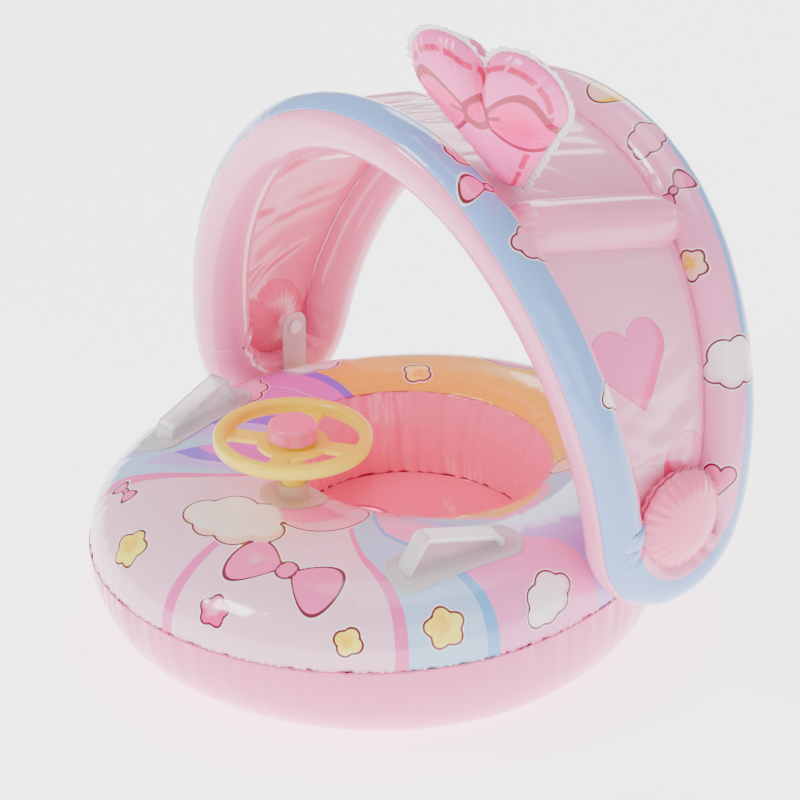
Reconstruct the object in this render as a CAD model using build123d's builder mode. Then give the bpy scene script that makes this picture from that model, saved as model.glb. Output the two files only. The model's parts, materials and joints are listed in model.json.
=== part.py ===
from build123d import *
from math import asin, atan2, cos, degrees, radians, sin, sqrt
import os

os.makedirs("parts", exist_ok=True)

# A small child's inflatable swim boat: a printed ring with a seat sling, a sun canopy on an
# inflated loop that tilts on two press studs, a toy steering wheel with a squeaking horn,
# two grab handles and a heart pillow. Millimetres, +Z up, the boat's front towards -Y and
# the child's left towards +X. The origin is on the ground under the middle of the ring.

# ---- Welded sheet and fits ----
skin = 1.2            # wall of every welded skin
weld_gap = 0.2        # between two pieces welded edge to edge
lay_gap = 0.3         # between a piece and the skin that it lies on
patch = 1.2           # thickness of the clear welded patches
running = 0.1         # radial clearance of a turning or sliding fit
slack = 0.5           # between faces that pass each other when a joint moves

# ---- Ring ----
ring_half_length = 315.6
ring_half_width = 280.0
ring_widest_y = -40.0      # the outline is broader at the front
seam_height = 108.0        # outer weld between the printed and the plain skin
deck_height = 190.0
deck_fullness = 2.4        # exponent of the deck's shoulder, 2 would be an ellipse
crest_share = 0.3          # where the deck is highest, 0 at the rim and 1 at the seam
rim_drop = 12.0            # rim below the crest
rim_half_width = 144.5
rim_half_length = 132.5
rim_middle_y = 39.0
contact_share = 0.45       # outer edge of the flat on the ground, on the same 0 to 1 scale
belly_fullness = 2.2

# ---- Seat ----
seat_height = 90.0         # inner weld, where the seat sling hangs
seat_inset = 18.0          # how far the sling's edge lies inside the rim
wall_bulge = 9.0           # further swell of the inner wall between rim and sling
well_flare = 50.0          # how far the well under the sling opens out to the ground
leg_hole_half_width = 36.0
leg_hole_half_length = 45.0
leg_hole_x = 50.0
leg_hole_y = -10.0

# ---- Canopy loop ----
tube_radius = 30.0
loop_overlap = 13.0        # tube's inner face inside the ring's side
pivot_y = 99.0             # middle of the two foot bends and the tilt axis
foot_height = 29.0         # lowest centre line of the loop above the seam
foot_bend_radius = 70.0
front_lean = -7.8          # degrees from upright, negative towards the front
rear_lean = 16.0
front_rise = 357.0         # from foot to crown, along the lean
rear_rise = 330.0
front_crown_inset = 52.0   # crown's radius, less than half the loop's width
rear_crown_inset = 27.0
crossbar_radius = 31.0

# ---- End pillows in the foot bends ----
pillow_offset = 14.0       # weld plane, outboard of the tube's centre line
pillow_crown = 16.0        # swell outwards
pillow_back = 32.0         # swell inwards

# ---- Press studs and canopy tabs ----
stud_radius = 4.0
stud_head_radius = 7.5
stud_head = 2.0
tab_half_width = 22.0
tab_top = 16.0             # above the pivot
tab_thickness = 1.5
tab_clearance = 2.5        # between the tab and the loop's foot
tab_reach = 24.0
tab_hem = 30.0             # welded length up the ring's side, from the seam

# ---- Steering wheel ----
wheel_y = -130.0
wheel_radius = 80.0
rim_width = 13.0
rim_depth = 16.0
wheel_rise = 62.0          # middle of the rim above the deck
hub_radius = 36.0
hub_thickness = 4.0
hub_drop = 3.0             # hub's top face below the middle of the rim
spoke_count = 4
spoke_turn = 31.0          # of the first spoke from +X
spoke_width = 14.0
spoke_flare = 22.0
spoke_thickness = 5.0
stem_radius = 12.25
socket_radius = 16.0
socket_rise = 13.0         # collar above the deck
base_disc_radius = 34.0
axle_radius = 4.0
axle_flange_radius = 11.0
axle_flange = 1.4
axle_shoulder = 24.0       # seat of the retaining clip above the axle's flange
clip_radius = 7.0
clip_thickness = 1.5
stem_bore_radius = 9.0

# ---- Horn ----
horn_radius = 25.0
horn_height = 17.0
horn_wall = 2.0
horn_travel = 4.0
guide_radius = 21.5
guide_height = 7.0
guide_wall = 2.0
bellows_radius = 16.0
bellows_wall = 1.2
reed_height = 10.0

# ---- Grab handles ----
handle_inset = 82.0        # handle's middle inside the ring's side
handle_y = -94.0
handle_turn = 10.0         # long axis from +Y, front end inboard
handle_roll = 12.0         # outwards, with the deck's slope
handle_pitch = 9.0         # front end down
handle_patch_length = 150.0
handle_patch_width = 50.0
handle_span = 104.0
handle_rise = 28.0
handle_width = 20.0
handle_thickness = 5.0

# ---- Heart pillow ----
heart_along = 0.16         # foot of the heart, from the front arch to the rear one
heart_across = 0.80        # and from the crown to the crossbar
heart_width = 184.0
heart_height = 192.0
heart_notch = 34.0
heart_depth = 30.0         # swell of each face
heart_flange = 4.0
heart_flange_thickness = 1.0
heart_seat = 4.7           # foot above the sheet, clear of its slope
heart_yaw = 10.0
heart_lean = 20.0
heart_roll = 0.0
tip_radius = 14.0
heart_waist = 0.56         # height that the swell is centred on, as a share of the height

# ---- Valves ----
valve_flange_radius = 14.0
valve_stem_radius = 6.0
valve_bore_radius = 4.1
valve_rise = 9.0
plug_radius = 3.8
plug_tip_radius = 2.8
plug_length = 5.0
plug_cap_radius = 6.5
plug_cap = 2.0
strap_length = 14.0
strap_width = 5.0
strap_thickness = 1.4
float_valve_x = 95.0
float_valve_back = 33.5    # behind the rim
canopy_valve_turn = 14.0   # up the rear arch's shoulder from the foot, in degrees

# ---- Places that follow from the sizes above ----
rim_height = deck_height - rim_drop
loop_half_width = ring_half_width + tube_radius - loop_overlap  # to the centre line
front_crown_radius = loop_half_width - front_crown_inset
rear_crown_radius = loop_half_width - rear_crown_inset
pivot_height = seam_height + foot_bend_radius + foot_height
wheel_height = deck_height + wheel_rise
handle_x = ring_half_width - handle_inset
float_valve_y = rim_middle_y + rim_half_length + float_valve_back


def put(piece, name):
    """Label a finished sub-part and write it as parts/NAME.step."""
    piece.part.label = name
    export_step(piece.part, f"parts/{name}.step")


def side_name(side):
    """The side of the boat as its rider names it."""
    return "left" if side > 0 else "right"


# ======== Ring surfaces ========

def ring_line(share, inset, height):
    """The ring's outline at a share of the way from the rim (0) to the seam (1)."""
    half_width = rim_half_width + (ring_half_width - rim_half_width) * share - inset
    widest = rim_middle_y + (ring_widest_y - rim_middle_y) * share
    front = rim_middle_y - rim_half_length
    front += (-ring_half_length - front) * share + inset
    rear = rim_middle_y + rim_half_length
    rear += (ring_half_length - rear) * share - inset
    with BuildSketch(Plane.XY.offset(height)) as line:
        with BuildLine():
            EllipticalCenterArc((0, widest), half_width, rear - widest, 0, arc_size=180)
            EllipticalCenterArc((0, widest), half_width, widest - front, 180, arc_size=180)
        make_face()
    return line.sketch


def deck_blank(inset):
    """The solid under the deck, from the seam over the crest to the rim, drawn in by inset."""
    lines = []
    for turn in (0, 14, 28, 44, 60, 76, 90):
        across = cos(radians(turn)) ** (2 / deck_fullness) if turn < 90 else 0
        up = sin(radians(turn)) ** (2 / deck_fullness)
        share = crest_share + (1 - crest_share) * across
        height = seam_height + (deck_height - inset - seam_height) * up
        lines.append(ring_line(share, inset * across, height))
    for back in (0.4, 0.7, 1.0):
        height = deck_height - inset - (deck_height - rim_height) * back**2
        lines.append(ring_line(crest_share * (1 - back), 0, height))
    with BuildPart() as blank:
        loft(lines)
    return blank.part


def belly_blank(inset):
    """The solid inside the plain lower skin, from the seam down to the ground."""
    top = seam_height - weld_gap
    lines = []
    for turn in (0, 14, 28, 44, 60, 76, 90):
        across = cos(radians(turn)) ** (2 / belly_fullness) if turn < 90 else 0
        down = sin(radians(turn)) ** (2 / belly_fullness)
        share = contact_share + (1 - contact_share) * across
        lines.append(ring_line(share, inset * across, top - (top - inset) * down))
    with BuildPart() as blank:
        loft(lines)
    return blank.part


def well_blank(outset):
    """The open well under the sling, flaring out to the ground."""
    lines = []
    for turn in (0, 20, 40, 60, 76, 90):
        inset = seat_inset - well_flare * (1 - cos(radians(turn)))
        height = seat_height * (1 - sin(radians(turn)))
        lines.append(ring_line(0, inset - outset, height))
    with BuildPart() as blank:
        loft(lines)
    return blank.part


def wall_blank(inset):
    """The open space inside the cockpit's inner wall, from the rim down to the sling."""
    lines = []
    for down in (0, 0.15, 0.35, 0.6, 0.8, 1.0):
        swell = seat_inset * down + wall_bulge * sin(radians(180 * down))
        height = rim_height - (rim_height - seat_height - weld_gap) * down
        lines.append(ring_line(0, weld_gap + swell + inset, height))
    with BuildPart() as blank:
        loft(lines)
    return blank.part


deck = deck_blank(0)

with BuildPart() as float_top_skin:
    add(deck)
    add(deck_blank(skin), mode=Mode.SUBTRACT)
    extrude(ring_line(0, 0, seam_height), amount=deck_height, mode=Mode.SUBTRACT)
put(float_top_skin, "float_top_skin")

with BuildPart() as float_bottom_skin:
    add(belly_blank(0))
    add(belly_blank(skin), mode=Mode.SUBTRACT)
    add(well_blank(skin))
    add(well_blank(0), mode=Mode.SUBTRACT)
put(float_bottom_skin, "float_bottom_skin")

with BuildPart() as cockpit_wall:
    add(wall_blank(0))
    add(wall_blank(skin), mode=Mode.SUBTRACT)
put(cockpit_wall, "cockpit_wall")

with BuildPart() as seat_sling:
    extrude(ring_line(0, seat_inset + weld_gap, seat_height - skin), amount=skin)
    with BuildSketch(Plane.XY.offset(seat_height)) as leg_holes:
        with Locations((leg_hole_x, leg_hole_y), (-leg_hole_x, leg_hole_y)):
            Ellipse(leg_hole_half_width, leg_hole_half_length)
    extrude(amount=-skin, mode=Mode.SUBTRACT)
put(seat_sling, "seat_sling")

# ======== Clear patches and handles on the deck ========

patch_under = deck_blank(-lay_gap)
patch_over = deck_blank(-lay_gap - patch)
over_patches = deck_blank(-lay_gap - patch - weld_gap)


def handle_plane(side, height):
    """Level plane over a handle's foot, its Y axis along the handle."""
    forward = Vector(-side * sin(radians(handle_turn)), -cos(radians(handle_turn)), 0)
    return Plane((side * handle_x, handle_y, height), x_dir=forward, z_dir=(0, 0, 1))


for side in (1, -1):
    with BuildPart() as handle_patch:
        with BuildSketch(handle_plane(side, seam_height)):
            RectangleRounded(handle_patch_length, handle_patch_width, handle_patch_width * 0.4)
        extrude(amount=deck_height)
        add(patch_over, mode=Mode.INTERSECT)
        add(patch_under, mode=Mode.SUBTRACT)
    put(handle_patch, f"handle_patch_{side_name(side)}")

    # A moulded bow that stands on the patch, its feet cut to the deck's slope.
    bow = handle_plane(side, deck_height - handle_thickness)
    bow = bow.rotated((-side * handle_roll, handle_pitch, 0))
    bow_side = Plane(bow.origin, x_dir=bow.x_dir, z_dir=-bow.y_dir)
    with BuildPart() as handle_grip:
        with BuildSketch(bow_side) as profile:
            with BuildLine():
                FilletPolyline(
                    (-handle_span / 2 - handle_thickness, -handle_rise / 2),
                    (-handle_span / 2 + handle_thickness, handle_rise),
                    (handle_span / 2 - handle_thickness, handle_rise),
                    (handle_span / 2 + handle_thickness, -handle_rise / 2),
                    radius=handle_rise * 0.3,
                )
                offset(amount=-handle_thickness, side=Side.RIGHT, closed=True)
            make_face()
        extrude(amount=handle_width / 2, both=True)
        add(over_patches, mode=Mode.SUBTRACT)
    put(handle_grip, f"handle_grip_{side_name(side)}")

# ======== Steering wheel, socket and axle ========

hub_top = wheel_height - hub_drop
hub_underside = hub_top - hub_thickness
socket_top = deck_height + socket_rise
socket_floor = deck_height + patch + lay_gap + weld_gap
flange_top = socket_floor + weld_gap + axle_flange
clip_seat = flange_top + axle_shoulder
axle_spot = Plane((0, wheel_y, 0))

with BuildPart() as wheel_socket:
    with BuildSketch(axle_spot.offset(seam_height)):
        Circle(base_disc_radius)
    extrude(amount=deck_height)
    add(patch_over, mode=Mode.INTERSECT)
    with BuildSketch(axle_spot.offset(rim_height)):
        Circle(socket_radius)
    extrude(amount=socket_top - rim_height)
    add(patch_under, mode=Mode.SUBTRACT)
    with BuildSketch(axle_spot.offset(socket_floor)):
        Circle(stem_radius + running)
    extrude(amount=socket_rise, mode=Mode.SUBTRACT)
put(wheel_socket, "wheel_socket")

with BuildPart() as wheel_axle:
    with BuildSketch(axle_spot.offset(socket_floor + weld_gap)):
        Circle(axle_flange_radius)
    extrude(amount=axle_flange)
    with BuildSketch(axle_spot.offset(flange_top)):
        Circle(axle_radius)
    extrude(amount=axle_shoulder + slack + clip_thickness + 2 * slack)
put(wheel_axle, "wheel_axle")

with BuildPart() as axle_clip:
    with BuildSketch(axle_spot.offset(clip_seat + slack)):
        Circle(clip_radius)
        Circle(axle_radius + weld_gap / 2, mode=Mode.SUBTRACT)
    extrude(amount=clip_thickness)
put(axle_clip, "axle_clip")

with BuildPart() as steering_wheel:
    with BuildSketch(Plane((0, wheel_y, wheel_height), x_dir=(1, 0, 0), z_dir=(0, -1, 0))):
        with Locations((wheel_radius - rim_width / 2, 0)):
            RectangleRounded(rim_width, rim_depth, rim_width * 0.42)
    revolve(axis=Axis((0, wheel_y, 0), (0, 0, 1)))
    with BuildSketch(axle_spot.offset(hub_underside)):
        Circle(hub_radius)
    extrude(amount=hub_thickness)
    for spoke in range(spoke_count):
        turned = axle_spot.offset(hub_underside - 1).rotated(
            (0, 0, spoke_turn + 360 * spoke / spoke_count)
        )
        with BuildSketch(turned):
            with BuildLine():
                Polyline(
                    (0, -spoke_width / 2),
                    (0, spoke_width / 2),
                    (wheel_radius - rim_width / 2, spoke_flare / 2),
                    (wheel_radius - rim_width / 2, -spoke_flare / 2),
                    close=True,
                )
            make_face()
        extrude(amount=spoke_thickness)
    with BuildSketch(axle_spot.offset(flange_top + slack)):
        Circle(stem_radius)
    extrude(amount=hub_underside - flange_top - slack)
    with BuildSketch(axle_spot.offset(hub_top)):
        Circle(guide_radius)
        Circle(guide_radius - guide_wall, mode=Mode.SUBTRACT)
    extrude(amount=guide_height)
    with BuildSketch(axle_spot.offset(flange_top)):
        Circle(axle_radius + running)
    extrude(amount=clip_seat - flange_top, mode=Mode.SUBTRACT)
    with BuildSketch(axle_spot.offset(clip_seat)):
        Circle(stem_bore_radius)
    extrude(amount=hub_top - clip_seat, mode=Mode.SUBTRACT)
put(steering_wheel, "steering_wheel")

with BuildPart() as squeaker_reed:
    with BuildSketch(axle_spot.offset(hub_top - reed_height)):
        Circle(stem_bore_radius - weld_gap)
        Circle(axle_radius / 2, mode=Mode.SUBTRACT)
    extrude(amount=reed_height)
put(squeaker_reed, "squeaker_reed")

horn_foot = hub_top + horn_travel + slack
horn_top = horn_foot + horn_height
with BuildPart() as horn_button:
    with BuildSketch(axle_spot.offset(horn_foot)):
        Circle(horn_radius)
    extrude(amount=horn_height)
    fillet(horn_button.edges().sort_by(Axis.Z)[-1], radius=5)
    with BuildSketch(axle_spot.offset(horn_foot)):
        Circle(guide_radius + running)
    extrude(amount=horn_height - 2 * horn_wall, mode=Mode.SUBTRACT)
put(horn_button, "horn_button")

bellows_top = horn_top - 2 * horn_wall - weld_gap
with BuildPart() as horn_bellows:
    with BuildSketch(axle_spot.offset(hub_top + weld_gap)):
        Circle(bellows_radius)
        Circle(bellows_radius - bellows_wall, mode=Mode.SUBTRACT)
    extrude(amount=bellows_top - hub_top - weld_gap)
put(horn_bellows, "horn_bellows")

# ======== Canopy loop ========

def lean_plane(lean):
    """Plane of one arch: X across the boat, Y up along the lean, origin level with its feet."""
    along = (0, sin(radians(lean)), cos(radians(lean)))
    out = -1 if lean == front_lean else 1
    foot_y = pivot_y + out * foot_bend_radius * cos(radians(lean))
    foot_z = pivot_height - out * foot_bend_radius * sin(radians(lean))
    normal = (0, -along[2], along[1])
    return Plane((0, foot_y, foot_z), x_dir=(1, 0, 0), z_dir=normal)


def shoulder_radius(rise, crown_radius):
    """Radius that carries an upright foot smoothly into the crown arc."""
    span = loop_half_width**2 + rise**2 - 2 * rise * crown_radius
    return span / (2 * (loop_half_width - crown_radius))


def shoulder_turn(rise, crown_radius):
    """Angle of the shoulder arc, in degrees."""
    shoulder = shoulder_radius(rise, crown_radius)
    return degrees(atan2(rise - crown_radius, shoulder - loop_half_width))


front_plane = lean_plane(front_lean)
rear_plane = lean_plane(rear_lean)
arches = (
    (front_plane, front_rise, front_crown_radius),
    (rear_plane, rear_rise, rear_crown_radius),
)


def arch_arcs(plane, rise, crown_radius):
    """(centre, radius, start angle, end angle) of an arch's three arcs, in its plane."""
    shoulder = shoulder_radius(rise, crown_radius)
    turn = shoulder_turn(rise, crown_radius)
    side = loop_half_width - shoulder
    return (
        ((side, 0), shoulder, 0, turn),
        ((0, rise - crown_radius), crown_radius, turn, 180 - turn),
        ((-side, 0), shoulder, 180 - turn, 180),
    )


def on_arc(plane, centre, radius, angle):
    """Point of an arc in the boat's frame."""
    x = centre[0] + radius * cos(radians(angle))
    y = centre[1] + radius * sin(radians(angle))
    return plane.from_local_coords(Vector(x, y, 0))


def loop_runs():
    """(section plane, turning axis, angle) of every arc of the loop, arches then foot bends.

    A section plane's X axis points to the printed side of the tube.
    """
    runs = []
    for plane, rise, crown_radius in arches:
        for centre, radius, start, end in arch_arcs(plane, rise, crown_radius):
            origin = on_arc(plane, centre, radius, start)
            middle = plane.from_local_coords(Vector(centre[0], centre[1], 0))
            outward = (origin - middle).normalized()
            tangent = plane.z_dir.cross(outward)
            section = Plane(origin, x_dir=outward, z_dir=tangent)
            runs.append((section, Axis(middle, plane.z_dir), end - start))
    for side in (1, -1):
        foot = front_plane.from_local_coords(Vector(side * loop_half_width, 0, 0))
        section = Plane(foot, x_dir=(side, 0, 0), z_dir=-front_plane.y_dir)
        axis = Axis((side * loop_half_width, pivot_y, pivot_height), (1, 0, 0))
        runs.append((section, axis, 180 - rear_lean + front_lean))
    return runs


def tube_section(plane, radius, side):
    """Half of the tube's wall: side 1 is the printed skin, -1 the plain one."""
    with BuildSketch(plane) as section:
        Circle(radius)
        Circle(radius - skin, mode=Mode.SUBTRACT)
        with Locations((side * (weld_gap / 2 - radius), 0)):
            Rectangle(2 * radius, 3 * radius, mode=Mode.SUBTRACT)
    return section.sketch


for side, name in ((1, "canopy_outer_skin"), (-1, "canopy_inner_skin")):
    with BuildPart() as loop_skin:
        for section, axis, angle in loop_runs():
            revolve(tube_section(section, tube_radius, side), axis=axis, revolution_arc=angle)
    put(loop_skin, name)

with BuildPart() as arch_blank:
    for section, axis, angle in loop_runs()[:6]:
        with BuildSketch(section) as full:
            Circle(tube_radius + weld_gap)
        revolve(full.sketch, axis=axis, revolution_arc=angle)


def bar_end(plane, rise, crown_radius, side):
    """Where a crossbar's axis meets an arch's centre line: between shoulder and crown."""
    turn = shoulder_turn(rise, crown_radius)
    angle = turn if side > 0 else 180 - turn
    return on_arc(plane, (0, rise - crown_radius), crown_radius, angle)


def crossbar_blank(side, radius):
    """A solid rod from arch to arch."""
    start = bar_end(*arches[0], side)
    end = bar_end(*arches[1], side)
    with BuildPart() as blank:
        with BuildSketch(Plane(start, z_dir=end - start)):
            Circle(radius)
        extrude(amount=(end - start).length)
    return blank.part


for side in (1, -1):
    with BuildPart() as crossbar:
        add(crossbar_blank(side, crossbar_radius))
        add(crossbar_blank(side, crossbar_radius - skin), mode=Mode.SUBTRACT)
        add(arch_blank.part, mode=Mode.SUBTRACT)
    put(crossbar, f"crossbar_{side_name(side)}")

# ======== Canopy sheets, welded to the loop's inner seam ========

def strip(arch, toward, arc):
    """The sheet's edge beside one arch: a thin band along one of its arcs."""
    plane, rise, crown_radius = arch
    centre, radius, first, last = arch_arcs(plane, rise, crown_radius)[arc]
    near = plane.offset(toward * (tube_radius + weld_gap))
    inner, outer = radius - skin / 2, radius + skin / 2
    with BuildSketch(near) as band:
        with BuildLine():
            low = CenterArc(centre, inner, first, last - first)
            high = CenterArc(centre, outer, first, last - first)
            Line(low @ 0, high @ 0)
            Line(low @ 1, high @ 1)
        make_face()
    return band.sketch


def sheet_blank(arc):
    """Ruled sheet between the same arc of the front and the rear arch."""
    with BuildPart() as blank:
        loft([strip(arches[0], -1, arc), strip(arches[1], 1, arc)], ruled=True)
    return blank.part


with BuildPart() as canopy_top_sheet:
    add(sheet_blank(1))
    for side in (1, -1):
        add(crossbar_blank(side, crossbar_radius + weld_gap), mode=Mode.SUBTRACT)
put(canopy_top_sheet, "canopy_top_sheet")

pillow_radius = foot_bend_radius - sqrt(tube_radius**2 - pillow_offset**2) - weld_gap - 0.3


def pillow_plane(side):
    """The end pillow's weld plane, facing outboard."""
    x = side * (loop_half_width + pillow_offset)
    return Plane((x, pivot_y, pivot_height), x_dir=(0, side, 0), z_dir=(side, 0, 0))


def cap_radius(rise):
    """Sphere through the pillow's weld circle that swells by rise."""
    return (pillow_radius**2 + rise**2) / (2 * rise)


for side, arc in ((1, 0), (-1, 2)):
    with BuildPart() as canopy_side_sheet:
        add(sheet_blank(arc))
        add(crossbar_blank(side, crossbar_radius + weld_gap), mode=Mode.SUBTRACT)
        with BuildSketch(pillow_plane(side)):
            Circle(pillow_radius + weld_gap)
        extrude(amount=2 * tube_radius, both=True, mode=Mode.SUBTRACT)
        with BuildSketch(Plane.XY.offset(pivot_height)):
            Rectangle(4 * loop_half_width, 4 * loop_half_width)
        extrude(amount=-deck_height, mode=Mode.SUBTRACT)
    put(canopy_side_sheet, f"canopy_side_sheet_{side_name(side)}")

for side in (1, -1):
    profile_plane = Plane(
        pillow_plane(side).origin, x_dir=pillow_plane(side).z_dir, z_dir=(0, 0, 1)
    )
    with BuildPart() as end_pillow:
        with BuildSketch(profile_plane):
            with BuildLine():
                ThreePointArc(
                    (pillow_crown, 0),
                    (
                        pillow_crown - cap_radius(pillow_crown) * (1 - cos(radians(30))),
                        cap_radius(pillow_crown) * sin(radians(30)),
                    ),
                    (0, pillow_radius),
                )
                ThreePointArc(
                    (0, pillow_radius),
                    (
                        cap_radius(pillow_back) * (1 - cos(radians(30))) - pillow_back,
                        cap_radius(pillow_back) * sin(radians(30)),
                    ),
                    (-pillow_back, 0),
                )
                Line((-pillow_back, 0), (pillow_crown, 0))
            make_face()
        revolve(axis=Axis(profile_plane.origin, profile_plane.x_dir))
        with BuildSketch(pillow_plane(side).offset(stud_head - pillow_back)):
            Circle(pillow_radius)
        extrude(amount=-pillow_back, mode=Mode.SUBTRACT)
    put(end_pillow, f"end_pillow_{side_name(side)}")

# ======== Press studs and tabs: the canopy tilts on them ========

tab_x = loop_half_width - tube_radius - tab_thickness - tab_clearance
pillow_inner = loop_half_width + pillow_offset - pillow_back + stud_head

for side in (1, -1):
    outward = Plane((side * tab_x, pivot_y, pivot_height), x_dir=(0, side, 0), z_dir=(side, 0, 0))
    fall = pivot_height - seam_height - skin
    with BuildPart() as canopy_tab:
        with BuildSketch(Plane((side * tab_x, pivot_y, seam_height + skin))):
            Rectangle(tab_reach, 2 * tab_half_width)
        extrude(amount=tab_hem)
        add(patch_over, mode=Mode.INTERSECT)
        with BuildSketch(outward):
            Circle(tab_top)
            with Locations((0, -fall / 2)):
                Rectangle(2 * tab_top, fall)
        extrude(amount=tab_thickness)
        add(patch_under, mode=Mode.SUBTRACT)
        with BuildSketch(outward):
            Circle(stud_radius + running)
        extrude(amount=tab_thickness, mode=Mode.SUBTRACT)
    put(canopy_tab, f"canopy_tab_{side_name(side)}")

    with BuildPart() as press_stud:
        with BuildSketch(outward.offset(-slack - stud_head)):
            Circle(stud_head_radius)
        extrude(amount=stud_head)
        with BuildSketch(outward.offset(-slack)):
            Circle(stud_radius)
        extrude(amount=slack + tab_thickness + slack)
        with BuildSketch(outward.offset(tab_thickness + slack)):
            Circle(stud_head_radius)
        extrude(amount=pillow_inner - weld_gap - tab_x - tab_thickness - slack)
    put(press_stud, f"press_stud_{side_name(side)}")

# ======== Heart pillow, standing on the canopy's top sheet ========

def sheet_point(across, along):
    """Point on the top sheet: across from crown to crossbar, along from front to rear arch."""
    ends = []
    for (plane, rise, crown_radius), toward in zip(arches, (-1, 1)):
        turn = shoulder_turn(rise, crown_radius)
        near = plane.offset(toward * (tube_radius + weld_gap))
        angle = 90 - across * (90 - turn)
        ends.append(on_arc(near, (0, rise - crown_radius), crown_radius, angle))
    return ends[0] * (1 - along) + ends[1] * along


heart_lobe_radius = heart_width / 2 + heart_notch - sqrt(heart_width * heart_notch)
lobe_x = heart_width / 2 - heart_lobe_radius
heart_middle = heart_height * heart_waist
lobe_y = heart_height - heart_lobe_radius
yaw, lean, roll = radians(heart_yaw), radians(heart_lean), radians(heart_roll)
wide = Vector(cos(yaw), sin(yaw), 0)
facing = Vector(sin(yaw) * cos(lean), -cos(yaw) * cos(lean), -sin(lean))
upright = facing.cross(wide)
wide_rolled = wide * cos(roll) - upright * sin(roll)
heart_foot = sheet_point(heart_across, heart_along)
heart_foot += Vector(0, 0, heart_seat)

# The outline's sharp corner lies below its rounded foot, which rests on the sheet.
lobe_reach = sqrt(lobe_x**2 + lobe_y**2)
heart_slant = asin(lobe_x / lobe_reach) + asin(heart_lobe_radius / lobe_reach)
corner_drop = tip_radius / sin(heart_slant) - tip_radius
heart_corner = heart_foot + facing.cross(wide_rolled) * (heart_flange - corner_drop)
heart_plane = Plane(heart_corner, x_dir=wide_rolled, z_dir=facing)


def heart_face(plane, size, grow):
    """Heart outline scaled about its middle, its sharp corner at the plane's origin."""
    line = sqrt(lobe_reach**2 - heart_lobe_radius**2)
    shoulder = (line * sin(heart_slant), line * cos(heart_slant))

    def at(x, y):
        return (x * size, heart_middle + (y - heart_middle) * size)

    with BuildSketch(plane) as face:
        with BuildLine():
            Line(at(0, 0), at(*shoulder))
            ThreePointArc(
                at(*shoulder), at(lobe_x, heart_height), at(0, heart_height - heart_notch)
            )
            mirror(about=Plane.YZ)
        make_face()
        fillet(face.vertices().sort_by(Axis.Y)[0], radius=tip_radius * size)
        if grow:
            offset(amount=grow)
    return face.sketch


def heart_half(direction, inset):
    """One swollen half of the pillow on its flange, drawn in by inset."""
    base = heart_flange_thickness / 2 + weld_gap
    sections = []
    for turn in (0, 22, 45, 68):
        size = cos(radians(turn)) ** 0.7 - inset / (heart_width / 2)
        rise = base + (heart_depth - inset) * sin(radians(turn))
        sections.append(heart_face(heart_plane.offset(direction * rise), size, 0))
    with BuildPart() as half:
        loft(sections)
    return half.part


for direction, name in ((1, "heart_front_skin"), (-1, "heart_back_skin")):
    with BuildPart() as heart_skin:
        add(heart_half(direction, 0))
        add(heart_half(direction, skin), mode=Mode.SUBTRACT)
    put(heart_skin, name)

with BuildPart() as heart_rim:
    extrude(heart_face(heart_plane, 1, heart_flange), amount=heart_flange_thickness / 2, both=True)
put(heart_rim, "heart_flange")

# ======== Air valves: a welded stem, and a plug on its strap ========

plug_underside = valve_rise + lay_gap


def valve_parts(plane, flange, skin_under, name):
    """A valve on the skin at the plane's origin, its strap along the plane's X axis."""
    with BuildPart() as valve_body:
        add(flange)
        with BuildSketch(plane.offset(-valve_rise / 2)):
            Circle(valve_stem_radius)
        extrude(amount=valve_rise * 1.5)
        with BuildSketch(plane.offset(valve_rise - strap_thickness)):
            with Locations((strap_length / 2 + strap_width / 2, 0)):
                Rectangle(strap_length, strap_width)
        extrude(amount=strap_thickness)
        with BuildSketch(plane.offset(valve_rise)):
            with Locations((strap_length + strap_width / 2 + slack, 0)):
                Rectangle(strap_width - strap_thickness - slack, strap_width)
        extrude(amount=lay_gap + strap_thickness)
        if skin_under:
            add(skin_under, mode=Mode.SUBTRACT)
        with BuildSketch(plane.offset(valve_rise)):
            Circle(valve_bore_radius)
        extrude(amount=-valve_rise * 0.8, mode=Mode.SUBTRACT)
    put(valve_body, f"{name}_valve_body")

    with BuildPart() as valve_plug:
        with BuildSketch(plane.offset(plug_underside)):
            Circle(plug_cap_radius)
        extrude(amount=plug_cap)
        with BuildSketch(plane.offset(plug_underside)):
            with Locations((strap_length / 2, 0)):
                Rectangle(strap_length, strap_width)
        extrude(amount=strap_thickness)
        with BuildSketch(
            Plane(
                plane.from_local_coords((strap_length, 0, plug_underside + strap_thickness / 2)),
                x_dir=plane.x_dir,
                z_dir=plane.y_dir,
            )
        ):
            Circle(strap_thickness / 2)
        extrude(amount=strap_width / 2, both=True)
        with BuildSketch(plane.offset(plug_underside)):
            Circle(plug_radius)
        with BuildSketch(plane.offset(plug_underside - plug_length)):
            Circle(plug_tip_radius)
        loft()
    put(valve_plug, f"{name}_valve_plug")


float_valve = Plane((float_valve_x, float_valve_y, deck_height + lay_gap), x_dir=(1, 0, 0))
with BuildPart() as float_flange:
    with BuildSketch(Plane(float_valve.origin - Vector(0, 0, deck_height / 2))):
        Circle(valve_flange_radius)
    extrude(amount=deck_height)
    add(patch_over, mode=Mode.INTERSECT)
valve_parts(float_valve, float_flange.part, patch_under, "float")

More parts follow.
